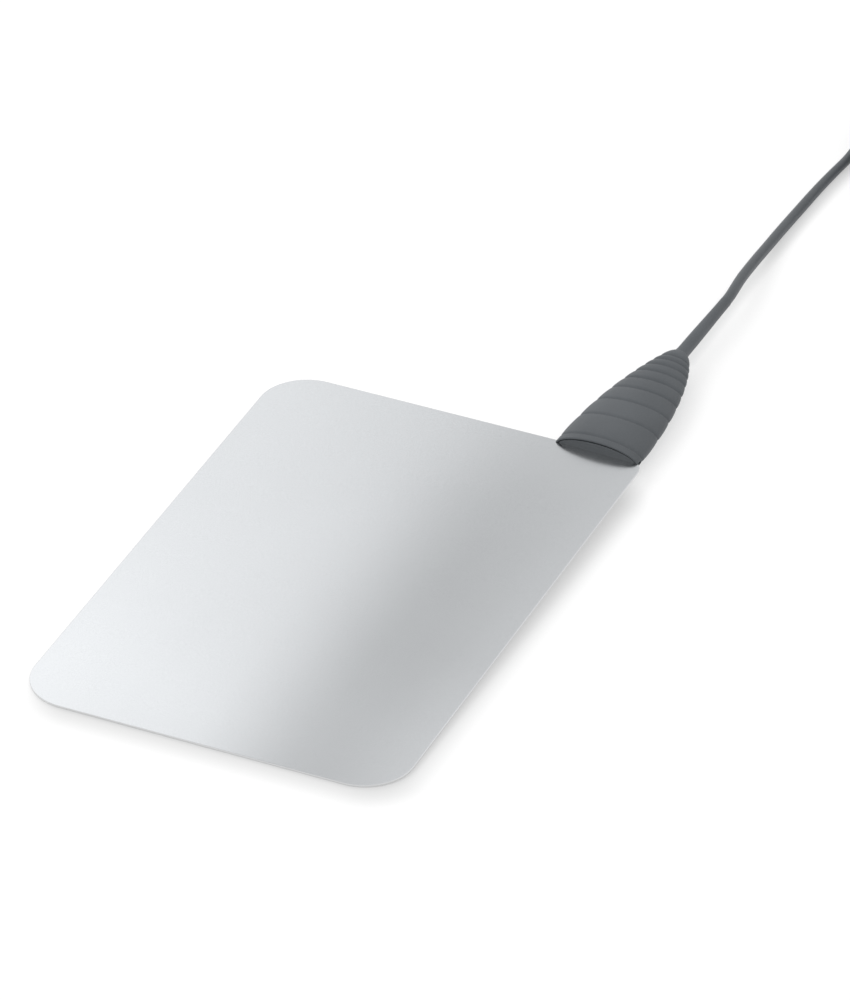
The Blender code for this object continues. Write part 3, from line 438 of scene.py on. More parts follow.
def floor_paper():
    """A pale, even studio floor, lit partly from within, as a light table is, with soft shadows painted into
    its colour and glow. One painted shadow is a rounded rectangle, the plate's own, moved aside. The other is a
    painted strip of shade beside the lead, as the camera sees it. Both fade with distance, and the floor takes
    the darker of the two."""
    n = Nodes("floor_paper")

    def vector(how, first, second=None):
        """Works out one sum of vectors."""
        node = n.add("ShaderNodeVectorMath", operation=how)
        n.put(node.inputs[0], first)
        if second is not None:
            n.put(node.inputs[1], second)
        return node.outputs["Value" if how in ("LENGTH", "DOT_PRODUCT") else "Vector"]

    def faded(distance, reach, darkest):
        """The tone at a distance: darkest where the reach starts, and one where it ends."""
        node = n.add("ShaderNodeMapRange", interpolation_type="SMOOTHSTEP")
        n.put(node.inputs["Value"], distance)
        for socket, value in zip(("From Min", "From Max", "To Min", "To Max"), (*reach, darkest, 1.0)):
            node.inputs[socket].default_value = value
        return node.outputs["Result"]

    def from_segment(start, end):
        """The distance from a straight line between two points."""
        run = end - start
        away = vector("SUBTRACT", n.place, tuple(start))
        share = n.sums(vector("DOT_PRODUCT", away, tuple(run)), run.length_squared, "DIVIDE")
        scaled = n.add("ShaderNodeVectorMath", operation="SCALE")
        scaled.inputs[0].default_value = tuple(run)
        n.put(scaled.inputs["Scale"], n.sums(n.sums(share, 0.0, "MAXIMUM"), 1.0, "MINIMUM"))
        return vector("LENGTH", vector("SUBTRACT", away, scaled.outputs[0]))

    # The painted shadow of the plate: its rounded outline, moved aside, darkens the floor near it.
    r = PLATE_CORNER_RADIUS
    shift_x, shift_y = PAINTED_SHADOW_SHIFT
    centre = (shift_x, NEAR_EDGE + PLATE_LENGTH / 2 + shift_y, 0.0)
    inside = (PLATE_WIDTH / 2 - r, PLATE_LENGTH / 2 - r, 1.0)
    beyond = vector("SUBTRACT", vector("ABSOLUTE", vector("SUBTRACT", n.place, centre)), inside)
    from_plate = n.sums(vector("LENGTH", vector("MAXIMUM", beyond, (0.0, 0.0, 0.0))), r, "SUBTRACT")

    # The painted shadow of the lead: a strip on the floor just behind the lead, as the camera sees it.
    back = camera_direction()
    along = [BOOT_FRAME @ Vector((0, BOOT_LENGTH, 0))]
    along += [Vector((LEAVE.x + x, LEAVE.y + y, z)) for x, y, z in (LEAD_ROUTE[5], LEAD_ROUTE[-1])]
    seen = [place - back * (place.z / back.z) + Vector((*LEAD_PAINTED_SHADOW_SHIFT, 0)) for place in along]
    from_lead = n.sums(from_segment(seen[0], seen[1]), from_segment(seen[1], seen[2]), "MINIMUM")
    # Painted shade: the floor's colour and glow both take the darker of the two painted shadows.
    tone = n.sums(
        faded(from_plate, PAINTED_SHADOW_FADE, PAINTED_SHADOW_DEPTH), faded(from_lead, LEAD_PAINTED_SHADOW_FADE, LEAD_PAINTED_SHADOW_DEPTH), "MINIMUM"
    )
    return n.finish(
        Base_Color=n.sums(tone, FLOOR_ALBEDO, "MULTIPLY"),
        Roughness=0.85,
        Specular_IOR_Level=0.2,
        Emission_Color=(1.0, 1.0, 1.0, 1.0),
        Emission_Strength=n.sums(tone, FLOOR_GLOW, "MULTIPLY"),
    )


def add_mesh(name, points, faces, material, smooth_angle=35):
    """One mesh object at the origin from an array of points and a list of faces, smooth up to an angle."""
    mesh = bpy.data.meshes.new(name)
    mesh.from_pydata(points.reshape(-1, 3).tolist(), [], faces)
    mesh.validate()
    mesh.shade_smooth()
    mesh.set_sharp_from_angle(angle=math.radians(smooth_angle))
    mesh.materials.append(material)
    piece = bpy.data.objects.new(name, mesh)
    bpy.context.scene.collection.objects.link(piece)
    return piece


def grid_faces(rows, columns, close_rows=False):
    """Four-sided faces between the rows and columns of a grid of points. The columns are wrapped round, and
    the rows where that is asked for."""
    i = np.arange(rows if close_rows else rows - 1)
    i, j = np.meshgrid(i, np.arange(columns), indexing="ij")
    down = (i + 1) % rows
    along = (j + 1) % columns
    quads = np.stack([i * columns + j, i * columns + along, down * columns + along, down * columns + j], -1)
    return quads.reshape(-1, 4)


def capped_faces(rows, columns):
    """The faces of a tube, and one across each of its ends."""
    faces = grid_faces(rows, columns).tolist()
    faces.append(list(range(columns - 1, -1, -1)))
    faces.append([(rows - 1) * columns + k for k in range(columns)])
    return faces


def smooth_step(t):
    """Rises from nought to one as t does, with flat ends: 3 t squared less 2 t cubed."""
    t = np.clip(t, 0, 1)
    return t * t * (3 - 2 * t)


def travelled(path):
    """The way along a path to each of its points."""
    return np.concatenate([[0.0], np.cumsum(np.linalg.norm(np.diff(path, axis=0), axis=1))])


def read_path(path, ways):
    """The points of a path at the given ways along it."""
    travel = travelled(path)
    return np.stack([np.interp(ways, travel, path[:, i]) for i in range(path.shape[1])], -1)


def cubic_through(times, knots, fine):
    """A curve through the knots, read at the fine times: each stretch is a cubic whose end slopes come from
    the knots on both sides of each end."""
    slopes = np.gradient(knots, times, axis=0)
    index = np.clip(np.searchsorted(times, fine, side="right") - 1, 0, len(knots) - 2)
    width = (times[index + 1] - times[index])[:, None]
    t = (fine - times[index])[:, None] / width
    return (
        (2 * t**3 - 3 * t**2 + 1) * knots[index]
        + (t**3 - 2 * t**2 + t) * width * slopes[index]
        + (3 * t**2 - 2 * t**3) * knots[index + 1]
        + (t**3 - t**2) * width * slopes[index + 1]
    )


def turn_outwards(piece):
    """Merges doubled points and points every face outwards."""
    bm = bmesh.new()
    bm.from_mesh(piece.data)
    bmesh.ops.remove_doubles(bm, verts=bm.verts, dist=MERGE_DISTANCE)
    bmesh.ops.recalc_face_normals(bm, faces=bm.faces)
    bm.to_mesh(piece.data)
    bm.free()
    return piece


def smooth_copy(node, name, material, added=None):
    """A merged copy of a CAD node, shaded smooth, which stands for it. Another mesh may be joined to it."""
    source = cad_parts[node]
    mesh = source.data.copy()
    mesh.name = name
    piece = bpy.data.objects.new(name, mesh)
    bpy.context.scene.collection.objects.link(piece)
    bm = bmesh.new()
    bm.from_mesh(mesh)
    if added is not None:
        bm.from_mesh(added.data)
        bpy.data.objects.remove(added)
    bmesh.ops.remove_doubles(bm, verts=bm.verts, dist=MERGE_DISTANCE)
    bmesh.ops.dissolve_degenerate(bm, edges=bm.edges, dist=MERGE_DISTANCE)
    bmesh.ops.recalc_face_normals(bm, faces=bm.faces)
    bm.to_mesh(mesh)
    bm.free()
    mesh.shade_smooth()
    mesh.set_sharp_from_angle(angle=math.radians(40))
    mesh.materials.clear()
    mesh.materials.append(material)
    level = piece.modifiers.new("Level", "WEIGHTED_NORMAL")
    level.keep_sharp = True
    bake_modifiers(piece)
    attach(piece, BODY)
    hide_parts(node)
    return piece


def press_on_plate(piece):
    """Brings the clamp faces of an insert half down onto the plate, which the solids keep a little apart."""
    points = np.empty(len(piece.data.vertices) * 3)
    piece.data.vertices.foreach_get("co", points)
    points = np.column_stack([points.reshape(-1, 3), np.ones(len(piece.data.vertices))])
    local = points @ np.array(PLATE_FRAME.inverted()).T
    facing = np.isclose(np.abs(local[:, 2]), CLAMP_FACE, rtol=0, atol=0.02 * MM)
    local[facing, 2] = np.sign(local[facing, 2]) * (PLATE_THICKNESS / 2 - CLAMP_BITE)
    points = (local @ np.array(PLATE_FRAME).T)[:, :3]
    piece.data.vertices.foreach_set("co", points.ravel())
    piece.data.update()


def insert_front(side, material):
    """The front end of an insert half, finer than its solid: half an oval with a rounded edge, which fills
    the boot's mouth down to the plate. The side is one for the upper half and minus one for the lower."""
    t = np.linspace(math.pi / 2, 0, 6)
    y = np.concatenate([INSERT_RECESS + FRONT_ROUNDING * (1 - np.sin(t)), [INSERT_RECESS + FRONT_LENGTH]])
    inset = np.concatenate([FRONT_ROUNDING * (1 - np.cos(t)), [0.0]]) + BOOT_WALL + FRONT_CLEARANCE
    width = (boot_width_at(y) - inset)[:, None]
    height = (boot_height_at(y) - inset)[:, None]
    low = np.arcsin(PLATE_THICKNESS / 2 / height)
    a = low + (math.pi - 2 * low) * np.linspace(0, 1, 97)
    x = width * np.cos(a)
    points = np.stack([x, np.broadcast_to(y[:, None], x.shape), side * height * np.sin(a)], -1)
    piece = turn_outwards(add_mesh("insert_front", points, capped_faces(*x.shape), material))
    piece.data.transform(BOOT_FRAME)
    return piece


def boot_width_at(s):
    """Half the boot's width: the tip's, and of what the mouth has over it (1 - (s / length) ** 2.1) ** 0.76."""
    nose = np.clip(1 - (np.clip(s, 0, None) / BOOT_LENGTH) ** 2.1, 0, 1)
    return BOOT_TIP_WIDTH / 2 + (BOOT_WIDTH - BOOT_TIP_WIDTH) / 2 * nose**0.76


def boot_height_at(s):
    """Half the boot's height: a share of its width, flat at the mouth and nearly round at the tip, which it
    nears as the eighth power of the way along."""
    flat = BOOT_HEIGHT / BOOT_WIDTH
    round_share = BOOT_TIP_HEIGHT / BOOT_TIP_WIDTH
    return boot_width_at(s) * (flat + (round_share - flat) * (s / BOOT_LENGTH) ** 8)


def groove_places():
    """Where the grooves are: one behind the lip, then one after each ring, up to a margin before the tip."""
    lengths = FIRST_RING_LENGTH * RING_SHORTENING ** np.arange(RING_COUNT)
    places = np.concatenate([[LIP_LENGTH], LIP_LENGTH + np.cumsum(lengths)])
    return places[places < BOOT_LENGTH - LAST_GROOVE_MARGIN]


def ring_relief(s):
    """How far the surface stands proud: each ring swells like half a sine to the power 0.8, and each groove
    is a dip like a bell curve, steep on the mouth's side and easy on the tip's."""
    grooves = groove_places()
    bounds = np.concatenate([grooves, [BOOT_LENGTH]])
    relief = np.zeros_like(s)
    for start, end in zip(bounds[:-1], bounds[1:]):
        t = (s - start) / (end - start)
        swell = RING_SWELL * np.sin(math.pi * np.clip(t, 0, 1)) ** 0.8
        relief += np.where((t > 0) & (t < 1), swell, 0)
    for place in grooves:
        x = s - place
        width = np.where(x < 0, GROOVE_STEEP_SIDE, GROOVE_EASY_SIDE)
        relief -= GROOVE_DEPTH * np.exp(-((x / width) ** 2))
    return relief


def boot_stations():
    """Places along the boot, close together at each groove and on the lip's rounding."""
    near = np.concatenate([np.linspace(-0.9, 0.3, 13), np.linspace(0.4, 2.4, 11)]) * MM
    rounding = LIP_ROUNDING * (1 - np.cos(np.linspace(0, math.pi / 2, 8)))
    parts = [rounding, np.linspace(LIP_ROUNDING, BOOT_LENGTH, 110)]
    parts += [place + near for place in groove_places()]
    s = np.sort(np.concatenate(parts))
    s = s[(s >= 0) & (s <= BOOT_LENGTH)]
    smallest_step = 0.03 * MM
    return s[np.concatenate([[True], np.diff(s) > smallest_step])]


def oval_rings(s, width, height, sides):
    """Rings of an ellipse at each s, as an array of rings by sides by three."""
    a = np.linspace(0, 2 * math.pi, sides, endpoint=False)
    x = width[:, None] * np.cos(a)
    z = height[:, None] * np.sin(a)
    y = np.broadcast_to(s[:, None], x.shape)
    return np.stack([x, y, z], -1)


def neck_profile():
    """The neck behind the tip, as places, half widths and half heights: it leaves the tip's oval in a hollow
    curve, tapers slowly, and closes onto the lead at its end."""
    closing_start = NECK_LENGTH - NECK_CLOSING
    straight = np.linspace(NECK_FILLET, closing_start, 24)
    closing = np.linspace(closing_start, NECK_LENGTH, 18)
    places = np.concatenate([np.linspace(0, NECK_FILLET, 12), straight[1:], closing[1:]])
    taper = NECK_RADIUS + (NECK_END_RADIUS - NECK_RADIUS) * places / NECK_LENGTH
    closed = smooth_step((places - closing_start) / NECK_CLOSING)
    radius = taper + (LEAD_FULL_RADIUS + NECK_END_WALL - taper) * closed
    hollow = (1 - np.clip(places / NECK_FILLET, 0, 1)) ** 2.5
    half_width = radius + (BOOT_TIP_WIDTH / 2 - radius) * hollow
    half_height = radius + (BOOT_TIP_HEIGHT / 2 - radius) * hollow
    return BOOT_LENGTH + places, half_width, half_height


def boot_sleeve(material):
    """The boot: rings of an ellipse down its outside, with swells and grooves, and back up through its bore.
    The wall thins to the lip's rim like a bell curve, and the lip arches forward where it is farthest from
    the plate."""
    s = boot_stations()
    fillet = LIP_ROUNDING
    dip = np.where(s < fillet, fillet - np.sqrt(np.clip(fillet**2 - (fillet - s) ** 2, 0, None)), 0)
    proud = ring_relief(s) - dip
    outer = oval_rings(s, boot_width_at(s) + proud, boot_height_at(s) + proud, BOOT_SIDES)
    neck_rings = oval_rings(*neck_profile(), BOOT_SIDES)
    bore = np.array([BOOT_LENGTH + NECK_LENGTH, BOOT_LENGTH, THROAT_PLACE, CAVITY_LENGTH])
    hole = np.full(len(bore), LEAD_FULL_RADIUS + NECK_GAP)
    inner_bore = oval_rings(bore, hole, hole, BOOT_SIDES)
    cavity = np.concatenate([np.linspace(CAVITY_LENGTH, 2 * MM, 10), np.linspace(1.6, 0, 9) * MM])
    wall = BOOT_WALL - (BOOT_WALL - LIP_RIM) * np.exp(-((cavity / LIP_FLARE) ** 2))
    inner = oval_rings(cavity, boot_width_at(cavity) - wall, boot_height_at(cavity) - wall, BOOT_SIDES)
    points = np.concatenate([outer, neck_rings[1:], inner_bore, inner])
    arch = np.abs(np.sin(np.linspace(0, 2 * math.pi, BOOT_SIDES, endpoint=False))) ** 1.5
    points[..., 1] += LIP_ARCH * arch * np.clip(1 - points[..., 1] / LIP_LENGTH, 0, 1) ** 2
    faces = grid_faces(len(points), BOOT_SIDES, close_rows=True)
    piece = turn_outwards(add_mesh("boot_sleeve", points, faces.tolist(), material, 50))
    piece.data.transform(BOOT_FRAME)
    cut_plate_slot(piece)
    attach(piece, BODY)
    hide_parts("boot")
    return piece


def cut_plate_slot(piece):
    """Slits both sides of the boot's mouth, where it reaches over the plate."""
    half = PLATE_THICKNESS / 2 + SLOT_GAP
    middle = PLATE_WIDTH / 2 - BOOT_INSET
    ahead = 3 * MM
    low = Vector((middle - BOOT_WIDTH, PLATE_LENGTH - BOOT_OVERLAP - ahead, -half))
    high = Vector((middle + BOOT_WIDTH, PLATE_LENGTH + SLOT_REACH, half))
    bm = bmesh.new()
    bmesh.ops.create_cube(bm, size=1.0)
    bmesh.ops.scale(bm, vec=high - low, verts=bm.verts)
    bmesh.ops.translate(bm, vec=(high + low) / 2, verts=bm.verts)
    cut(piece, bm, PLATE_FRAME)


def cut_hole(piece, x, y, radius):
    """Drills the plate at a point in the boot's frame."""
    bm = bmesh.new()
    bmesh.ops.create_cone(
        bm, cap_ends=True, segments=48, radius1=radius, radius2=radius, depth=8 * PLATE_THICKNESS
    )
    bmesh.ops.translate(bm, vec=(x, y, 0), verts=bm.verts)
    cut(piece, bm, BOOT_FRAME)


def cut(piece, shape, place):
    """Takes a shape away from a piece, with the shape put in its frame first."""
    mesh = bpy.data.meshes.new("cutter")
    shape.to_mesh(mesh)
    shape.free()
    mesh.transform(place)
    cutter = bpy.data.objects.new("cutter", mesh)
    bpy.context.scene.collection.objects.link(cutter)
    change = piece.modifiers.new("Cut", "BOOLEAN")
    change.operation = "DIFFERENCE"
    change.object = cutter
    bake_modifiers(piece)
    bpy.data.objects.remove(cutter)


def arc(centre, radius, start, end, steps):
    """Points on a circle from one angle to another, in degrees."""
    a = np.radians(np.linspace(start, end, steps + 1))
    return np.stack([centre[0] + radius * np.cos(a), centre[1] + radius * np.sin(a)], -1)


def plate_outline(inset):
    """The plate from above, anticlockwise from its near right corner, drawn in by the inset. Outward corners
    lose the inset from their radius, and the tab's two inward corners gain it."""
    half = PLATE_WIDTH / 2
    r, s, f = PLATE_CORNER_RADIUS, PLATE_SHOULDER_RADIUS, TAB_FILLET
    left = half - BOOT_INSET - TAB_WIDTH / 2
    right = left + TAB_WIDTH
    top = PLATE_LENGTH + TAB_LENGTH
    arcs = [
        arc((half - r, r), r - inset, -90, 0, 32),
        arc((half - s, PLATE_LENGTH - s), s - inset, 0, 90, 20),
        arc((right + f, PLATE_LENGTH + f), f + inset, 270, 180, 6),
        arc((right - f, top - f), f - inset, 0, 90, 6),
        arc((left + f, top - f), f - inset, 90, 180, 6),
        arc((left - f, PLATE_LENGTH + f), f + inset, 0, -90, 6),
        arc((r - half, PLATE_LENGTH - r), r - inset, 90, 180, 32),
        arc((r - half, r), r - inset, 180, 270, 32),
    ]
    return np.concatenate(arcs)


def plate_sheet(material):
    """The steel sheet: its outline carried round an edge profile, a small round below and a wider roll-over
    above, as a blanked sheet has. The roll-over drops as the cube of the way out to the edge."""
    half = PLATE_THICKNESS / 2
    below = EDGE_ROUNDING_BELOW
    a = np.linspace(0, math.pi / 2, 7)
    profile = [(below * (1 - math.sin(t)), -half + below * (1 - math.cos(t))) for t in a]
    break_in, break_down = EDGE_BREAK_MIDDLE
    profile += [(0.0, half - EDGE_DROP - EDGE_BREAK), (break_in, half - EDGE_DROP - break_down)]
    profile += [(EDGE_ROLL * (1 - u) + EDGE_BREAK, half - EDGE_DROP * u**3) for u in np.linspace(1, 0, 14)]
    rings = []
    for inset, z in profile:
        outline = plate_outline(inset)
        rings.append(np.column_stack([outline, np.full(len(outline), z)]))
    points = np.stack(rings)
    piece = add_mesh("plate_sheet", points, capped_faces(*points.shape[:2]), material, 50)
    turn_outwards(piece)
    piece.data.transform(PLATE_FRAME)
    cut_hole(piece, 0, RIVET_PLACE, RIVET_HOLE_RADIUS)
    cut_hole(piece, -PEG_SPACING / 2, RIVET_PLACE, PEG_HOLE_RADIUS)
    cut_hole(piece, PEG_SPACING / 2, RIVET_PLACE, PEG_HOLE_RADIUS)
    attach(piece, BODY)
    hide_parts("electrode_plate")
    return piece


def bake_modifiers(piece):
    """Puts what the modifiers make into the mesh itself."""
    bpy.context.view_layer.update()
    graph = bpy.context.evaluated_depsgraph_get()
    made = bpy.data.meshes.new_from_object(piece.evaluated_get(graph), depsgraph=graph)
    piece.modifiers.clear()
    piece.data = made


def smooth_route(points, spacing):
    """A smooth curve through the points at even steps, timed by the square roots of the gaps between them."""
    knots = np.array(points, float)
    gaps = np.sqrt(np.linalg.norm(np.diff(knots, axis=0), axis=1))
    times = np.concatenate([[0.0], np.cumsum(gaps)])
    curve = cubic_through(times, knots, np.linspace(0.0, times[-1], 60 * len(knots)))
    length = travelled(curve)[-1]
    return read_path(curve, np.linspace(0.0, length, max(int(round(length / spacing)), 2) + 1))


def coil_centre():
    """The middle of the coil, on the floor."""
    low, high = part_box("cable_coil")
    return np.array([(low.x + high.x) / 2, (low.y + high.y) / 2, 0.0])


def coil_turns():
    """The wound turns as points: a flat spiral in to the middle and out again, layer on layer, clockwise
    from above. The radius is a zigzag of the turn number, worked out as the arc cosine of a cosine that
    stays just under one, so that its inner folds are soft, and each layer lies one pitch higher."""
    turns = COIL_LAYERS * COIL_TURNS_PER_LAYER
    u = np.linspace(0, turns, int(turns * COIL_POINTS_PER_TURN) + 1)
    half = COIL_TURNS_PER_LAYER * COIL_TURN_PITCH / 2
    softness = COIL_FOLD_SOFTNESS * np.clip(np.minimum(u, turns - u), 0, 1)
    zigzag = np.arccos(np.cos(math.pi * u / COIL_TURNS_PER_LAYER) * (1 - softness)) / math.pi
    radius = COIL_MIDDLE_RADIUS + half * (1 - 2 * zigzag)
    layer = np.zeros_like(u)
    for number in range(1, COIL_LAYERS):
        layer += smooth_step((u - number * COIL_TURNS_PER_LAYER) / COIL_CLIMB_TURNS + 0.5)
    angle = math.pi - 2 * math.pi * u
    centre = coil_centre()
    x = centre[0] + radius * np.cos(angle)
    y = centre[1] + radius * np.sin(angle)
    z = COIL_FIRST_HEIGHT + COIL_TURN_PITCH * layer
    return np.stack([x, y, z], -1)


def lead_path():
    """The whole lead: out of the boot, along the floor, round the coil and down beside it to the plug. Every
    fourth point of the coil's first and last few leads its curve into the free stretches."""
    start = np.array([LEAVE.x, LEAVE.y, 0.0])
    free = np.array(LEAD_ROUTE[:-1]) + start
    free[0, 2] = LEAVE.z
    coil = coil_turns()
    tail = np.array(TAIL_ROUTE) + coil_centre()
    blend = COIL_BLEND_POINTS
    first = smooth_route([*free, *coil[0:blend:4]], LEAD_STEP)
    leaving = coil[-1] + np.array(COIL_LEAVING)
    last = smooth_route([*coil[-blend:-3:4], coil[-1], *leaving, *tail], LEAD_STEP)
    return np.concatenate([first[:-1], coil[blend:-blend], last])


def round_tube(name, path, radius, sides, material):
    """A tube: a circle carried along the path, square to it, with a radius for each of the path's points."""
    run = np.gradient(path, axis=0)
    run /= np.linalg.norm(run, axis=1)[:, None]
    side = np.cross(run, [0.0, 0.0, 1.0])
    side /= np.linalg.norm(side, axis=1)[:, None]
    up = np.cross(side, run)
    a = np.linspace(0, 2 * math.pi, sides, endpoint=False)[:, None]
    circle = np.cos(a) * side[:, None] + np.sin(a) * up[:, None]
    rings = path[:, None] + radius[:, None, None] * circle
    piece = add_mesh(name, rings, capped_faces(len(rings), sides), material, 40)
    return turn_outwards(piece)


def turned(name, node, profile, material, smooth_angle):
    """A turned piece of the plug: its profile of (place, radius) points, closed and carried round its axis."""
    sides = 64
    profile = np.array(profile, float)
    a = np.linspace(0, 2 * math.pi, sides, endpoint=False)
    x = profile[:, 1, None] * np.cos(a)
    y = profile[:, 1, None] * np.sin(a)
    z = np.broadcast_to(profile[:, 0, None], x.shape)
    faces = grid_faces(len(profile), sides, close_rows=True).tolist()
    piece = turn_outwards(add_mesh(name, np.stack([x, y, z], -1), faces, material, smooth_angle))
    piece.data.transform(plug_frame())
    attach(piece, BODY)
    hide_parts(node)
    return piece


def plug_frame():
    """The plug's axis: from its strain relief's tail to its tip, along -Y at the height of its grip."""
    centre = coil_centre()
    place = (centre[0] + PLUG_PLACE[0], centre[1] + PLUG_PLACE[1], GRIP_RADIUS)
    return Matrix.Translation(place) @ Matrix.Rotation(math.pi / 2, 4, "X")


def dips(places, centres, side, flatness):
    """A row of soft grooves, each like a cosine's trough, as deep as one at its centre and gone at its side.
    What the flatness brings past one is cut off, and leaves a flat floor."""
    away = np.abs(places[:, None] - np.asarray(centres)) / side
    depth = np.where(away < 1, (1 + np.cos(math.pi * np.clip(away, 0, 1))) / 2, 0).max(axis=1)
    return np.minimum(flatness * depth, 1)


def relief_profile():
    """The strain relief: a cone with soft grooves, and inside the grip a tenon with a flange."""
    bore = CABLE_RADIUS + RELIEF_GAP
    step = RELIEF_LENGTH / (RELIEF_GROOVES + 1)
    places = np.linspace(RELIEF_TAIL_ROUNDING, RELIEF_LENGTH, 96)
    cone = RELIEF_REAR_RADIUS + (RELIEF_FRONT_RADIUS - RELIEF_REAR_RADIUS) * places / RELIEF_LENGTH
    centres = step * np.arange(1, RELIEF_GROOVES + 1)
    grooves = dips(places, centres, RELIEF_GROOVE_SIDE * step, RELIEF_GROOVE_FLATNESS)
    tail = [(0.0, bore)] + [(place, RELIEF_REAR_RADIUS - drop) for place, drop in RELIEF_TAIL_EDGE]
    outside = list(zip(places, cone - RELIEF_GROOVE_DEPTH * grooves))
    start, end = TENON_FLANGE
    tenon = [(RELIEF_LENGTH, TENON_RADIUS), (start, TENON_RADIUS), (start, RELIEF_FRONT_RADIUS)]
    return tail + outside + tenon + [(end, RELIEF_FRONT_RADIUS), (end, bore)]


def grip_profile():
    """The grip: a barrel that swells from its rear shoulder, with soft finger grooves and rounded ends."""
    start, end = GRIP_ENDS
    r = GRIP_ROUNDING
    rear = GRIP_REAR_SHARE * (end - start)
    step = (end - r - start - rear) / (GRIP_GROOVES + 1)
    centres = end - r - step * np.arange(1, GRIP_GROOVES + 1)
    places = np.linspace(start + r, end - r, 140)
    radii = GRIP_REAR_RADIUS + (GRIP_RADIUS - GRIP_REAR_RADIUS) * smooth_step((places - start) / rear)
    radii -= GRIP_GROOVE_DEPTH * dips(places, centres, GRIP_GROOVE_SIDE * step, GRIP_GROOVE_FLATNESS)
    a = np.linspace(0, math.pi / 2, 9)
    back = [(start + r * (1 - math.sin(t)), radii[0] - r * (1 - math.cos(t))) for t in a[::-1]]
    front = [(end - r * (1 - math.sin(t)), GRIP_RADIUS - r * (1 - math.cos(t))) for t in a]
    hole = JACK_RADIUS + PLUG_GAP
    seat = TENON_RADIUS + PLUG_GAP
    cavity_start, cavity_end = GRIP_CAVITY
    inside = [(end, hole), (cavity_end, hole), (cavity_end, GRIP_CAVITY_RADIUS)]
    inside += [(cavity_start, GRIP_CAVITY_RADIUS), (cavity_start, seat), (start, seat)]
    return back + list(zip(places, radii)) + front + inside


def sleeve_profile():
    """The jack's outer contact: a tube with a chamfered end, and the flange that the grip traps."""
    start, end = JACK_FLANGE
    flange = [(start, JACK_BORE_RADIUS), (start, JACK_FLANGE_RADIUS), (end, JACK_FLANGE_RADIUS)]
    tube = [(end, JACK_RADIUS), (SLEEVE_END - JACK_CHAMFER, JACK_RADIUS)]
    return flange + tube + [(SLEEVE_END, JACK_RADIUS - JACK_CHAMFER), (SLEEVE_END, JACK_BORE_RADIUS)]


def insulator_profile():
    """The ring between the jack's two contacts, a hair under them, which it meets at both of its ends."""
    start, end = INSULATOR_ENDS[0] - INSULATOR_OVERLAP, INSULATOR_ENDS[1] + INSULATOR_OVERLAP
    bore = JACK_ROD_RADIUS + PLUG_GAP
    radius = JACK_RADIUS - INSULATOR_STEP
    return [(start, bore), (start, radius), (end, radius), (end, bore)]


def tip_profile():
    """The tip contact, read off a curve through its shape, on its rod, with a cup for the conductor."""
    start, end = JACK_TIP_ENDS
    shape = np.array(JACK_TIP_SHAPE)
    t = np.linspace(0, 1, 60)
    radii = JACK_RADIUS * cubic_through(shape[:, 0], shape[:, 1:], t)[:, 0]
    cup_start, cup_end = JACK_CUP
    floor = cup_end - CUP_FLOOR
    cup = [(floor, 0.0), (floor, CUP_BORE_RADIUS), (cup_start, CUP_BORE_RADIUS), (cup_start, JACK_CUP_RADIUS)]
    rod = [(cup_end, JACK_CUP_RADIUS), (cup_end, JACK_ROD_RADIUS), (start, JACK_ROD_RADIUS)]
    return cup + rod + list(zip(start + (end - start) * t, radii)) + [(end, 0.0)]


def strap_path(low, high, shift):
    """A strap's line in the coil's cross-section, drawn out by the shift: from inside over the top, down
    outside, under and up again, as (out, up) points at even steps, and the way along to each."""
    r = STRAP_CORNER_RADIUS + shift
    left, bottom = low[0] - shift, low[1] - shift
    right, top = high[0] + shift, high[1] + shift
    arcs = [
        arc((left + r, top - r), r, 180, 90, 10),
        arc((right - r, top - r), r, 90, 0, 10),
        arc((right - r, bottom + r), r, 0, -90, 10),
        arc((left + r, bottom + r), r, -90, -180, 10),
    ]
    corners = np.concatenate([*arcs, arcs[0][:1]])
    ways = np.linspace(0.0, travelled(corners)[-1], STRAP_STEPS + 1)
    return read_path(corners, ways), ways


def strap_layer(path, ways, closed):
    """One layer of strap along a line: a flat band with soft edges, as points, faces and places in
    centimetres for its UV map."""
    run = np.gradient(path, axis=0)
    if closed:
        path, ways = path[:-1], ways[:-1]
        run = np.roll(path, -1, axis=0) - np.roll(path, 1, axis=0)
    run /= np.linalg.norm(run, axis=1)[:, None]
    out = np.stack([-run[:, 1], run[:, 0]], -1)
    half = STRAP_THICKNESS / 2
    soft = half - STRAP_EDGE
    side = STRAP_WIDTH / 2
    flat = side - STRAP_EDGE
    across = np.array([-side, -flat, 0.0, flat, side, side, flat, 0.0, -flat, -side])
    over = np.array([soft, half, half, half, soft, -soft, -half, -half, -half, -soft])
    section = path[:, None] + out[:, None] * over[None, :, None]
    rows, columns = section.shape[:2]
    across = np.broadcast_to(across, (rows, columns))
    points = np.stack([section[..., 0], across, section[..., 1]], -1)
    faces = grid_faces(rows, columns, close_rows=True).tolist() if closed else capped_faces(rows, columns)
    place = np.stack([across, np.broadcast_to(ways[:, None], (rows, columns))], -1)
    return points.reshape(-1, 3), faces, place.reshape(-1, 2) * 100


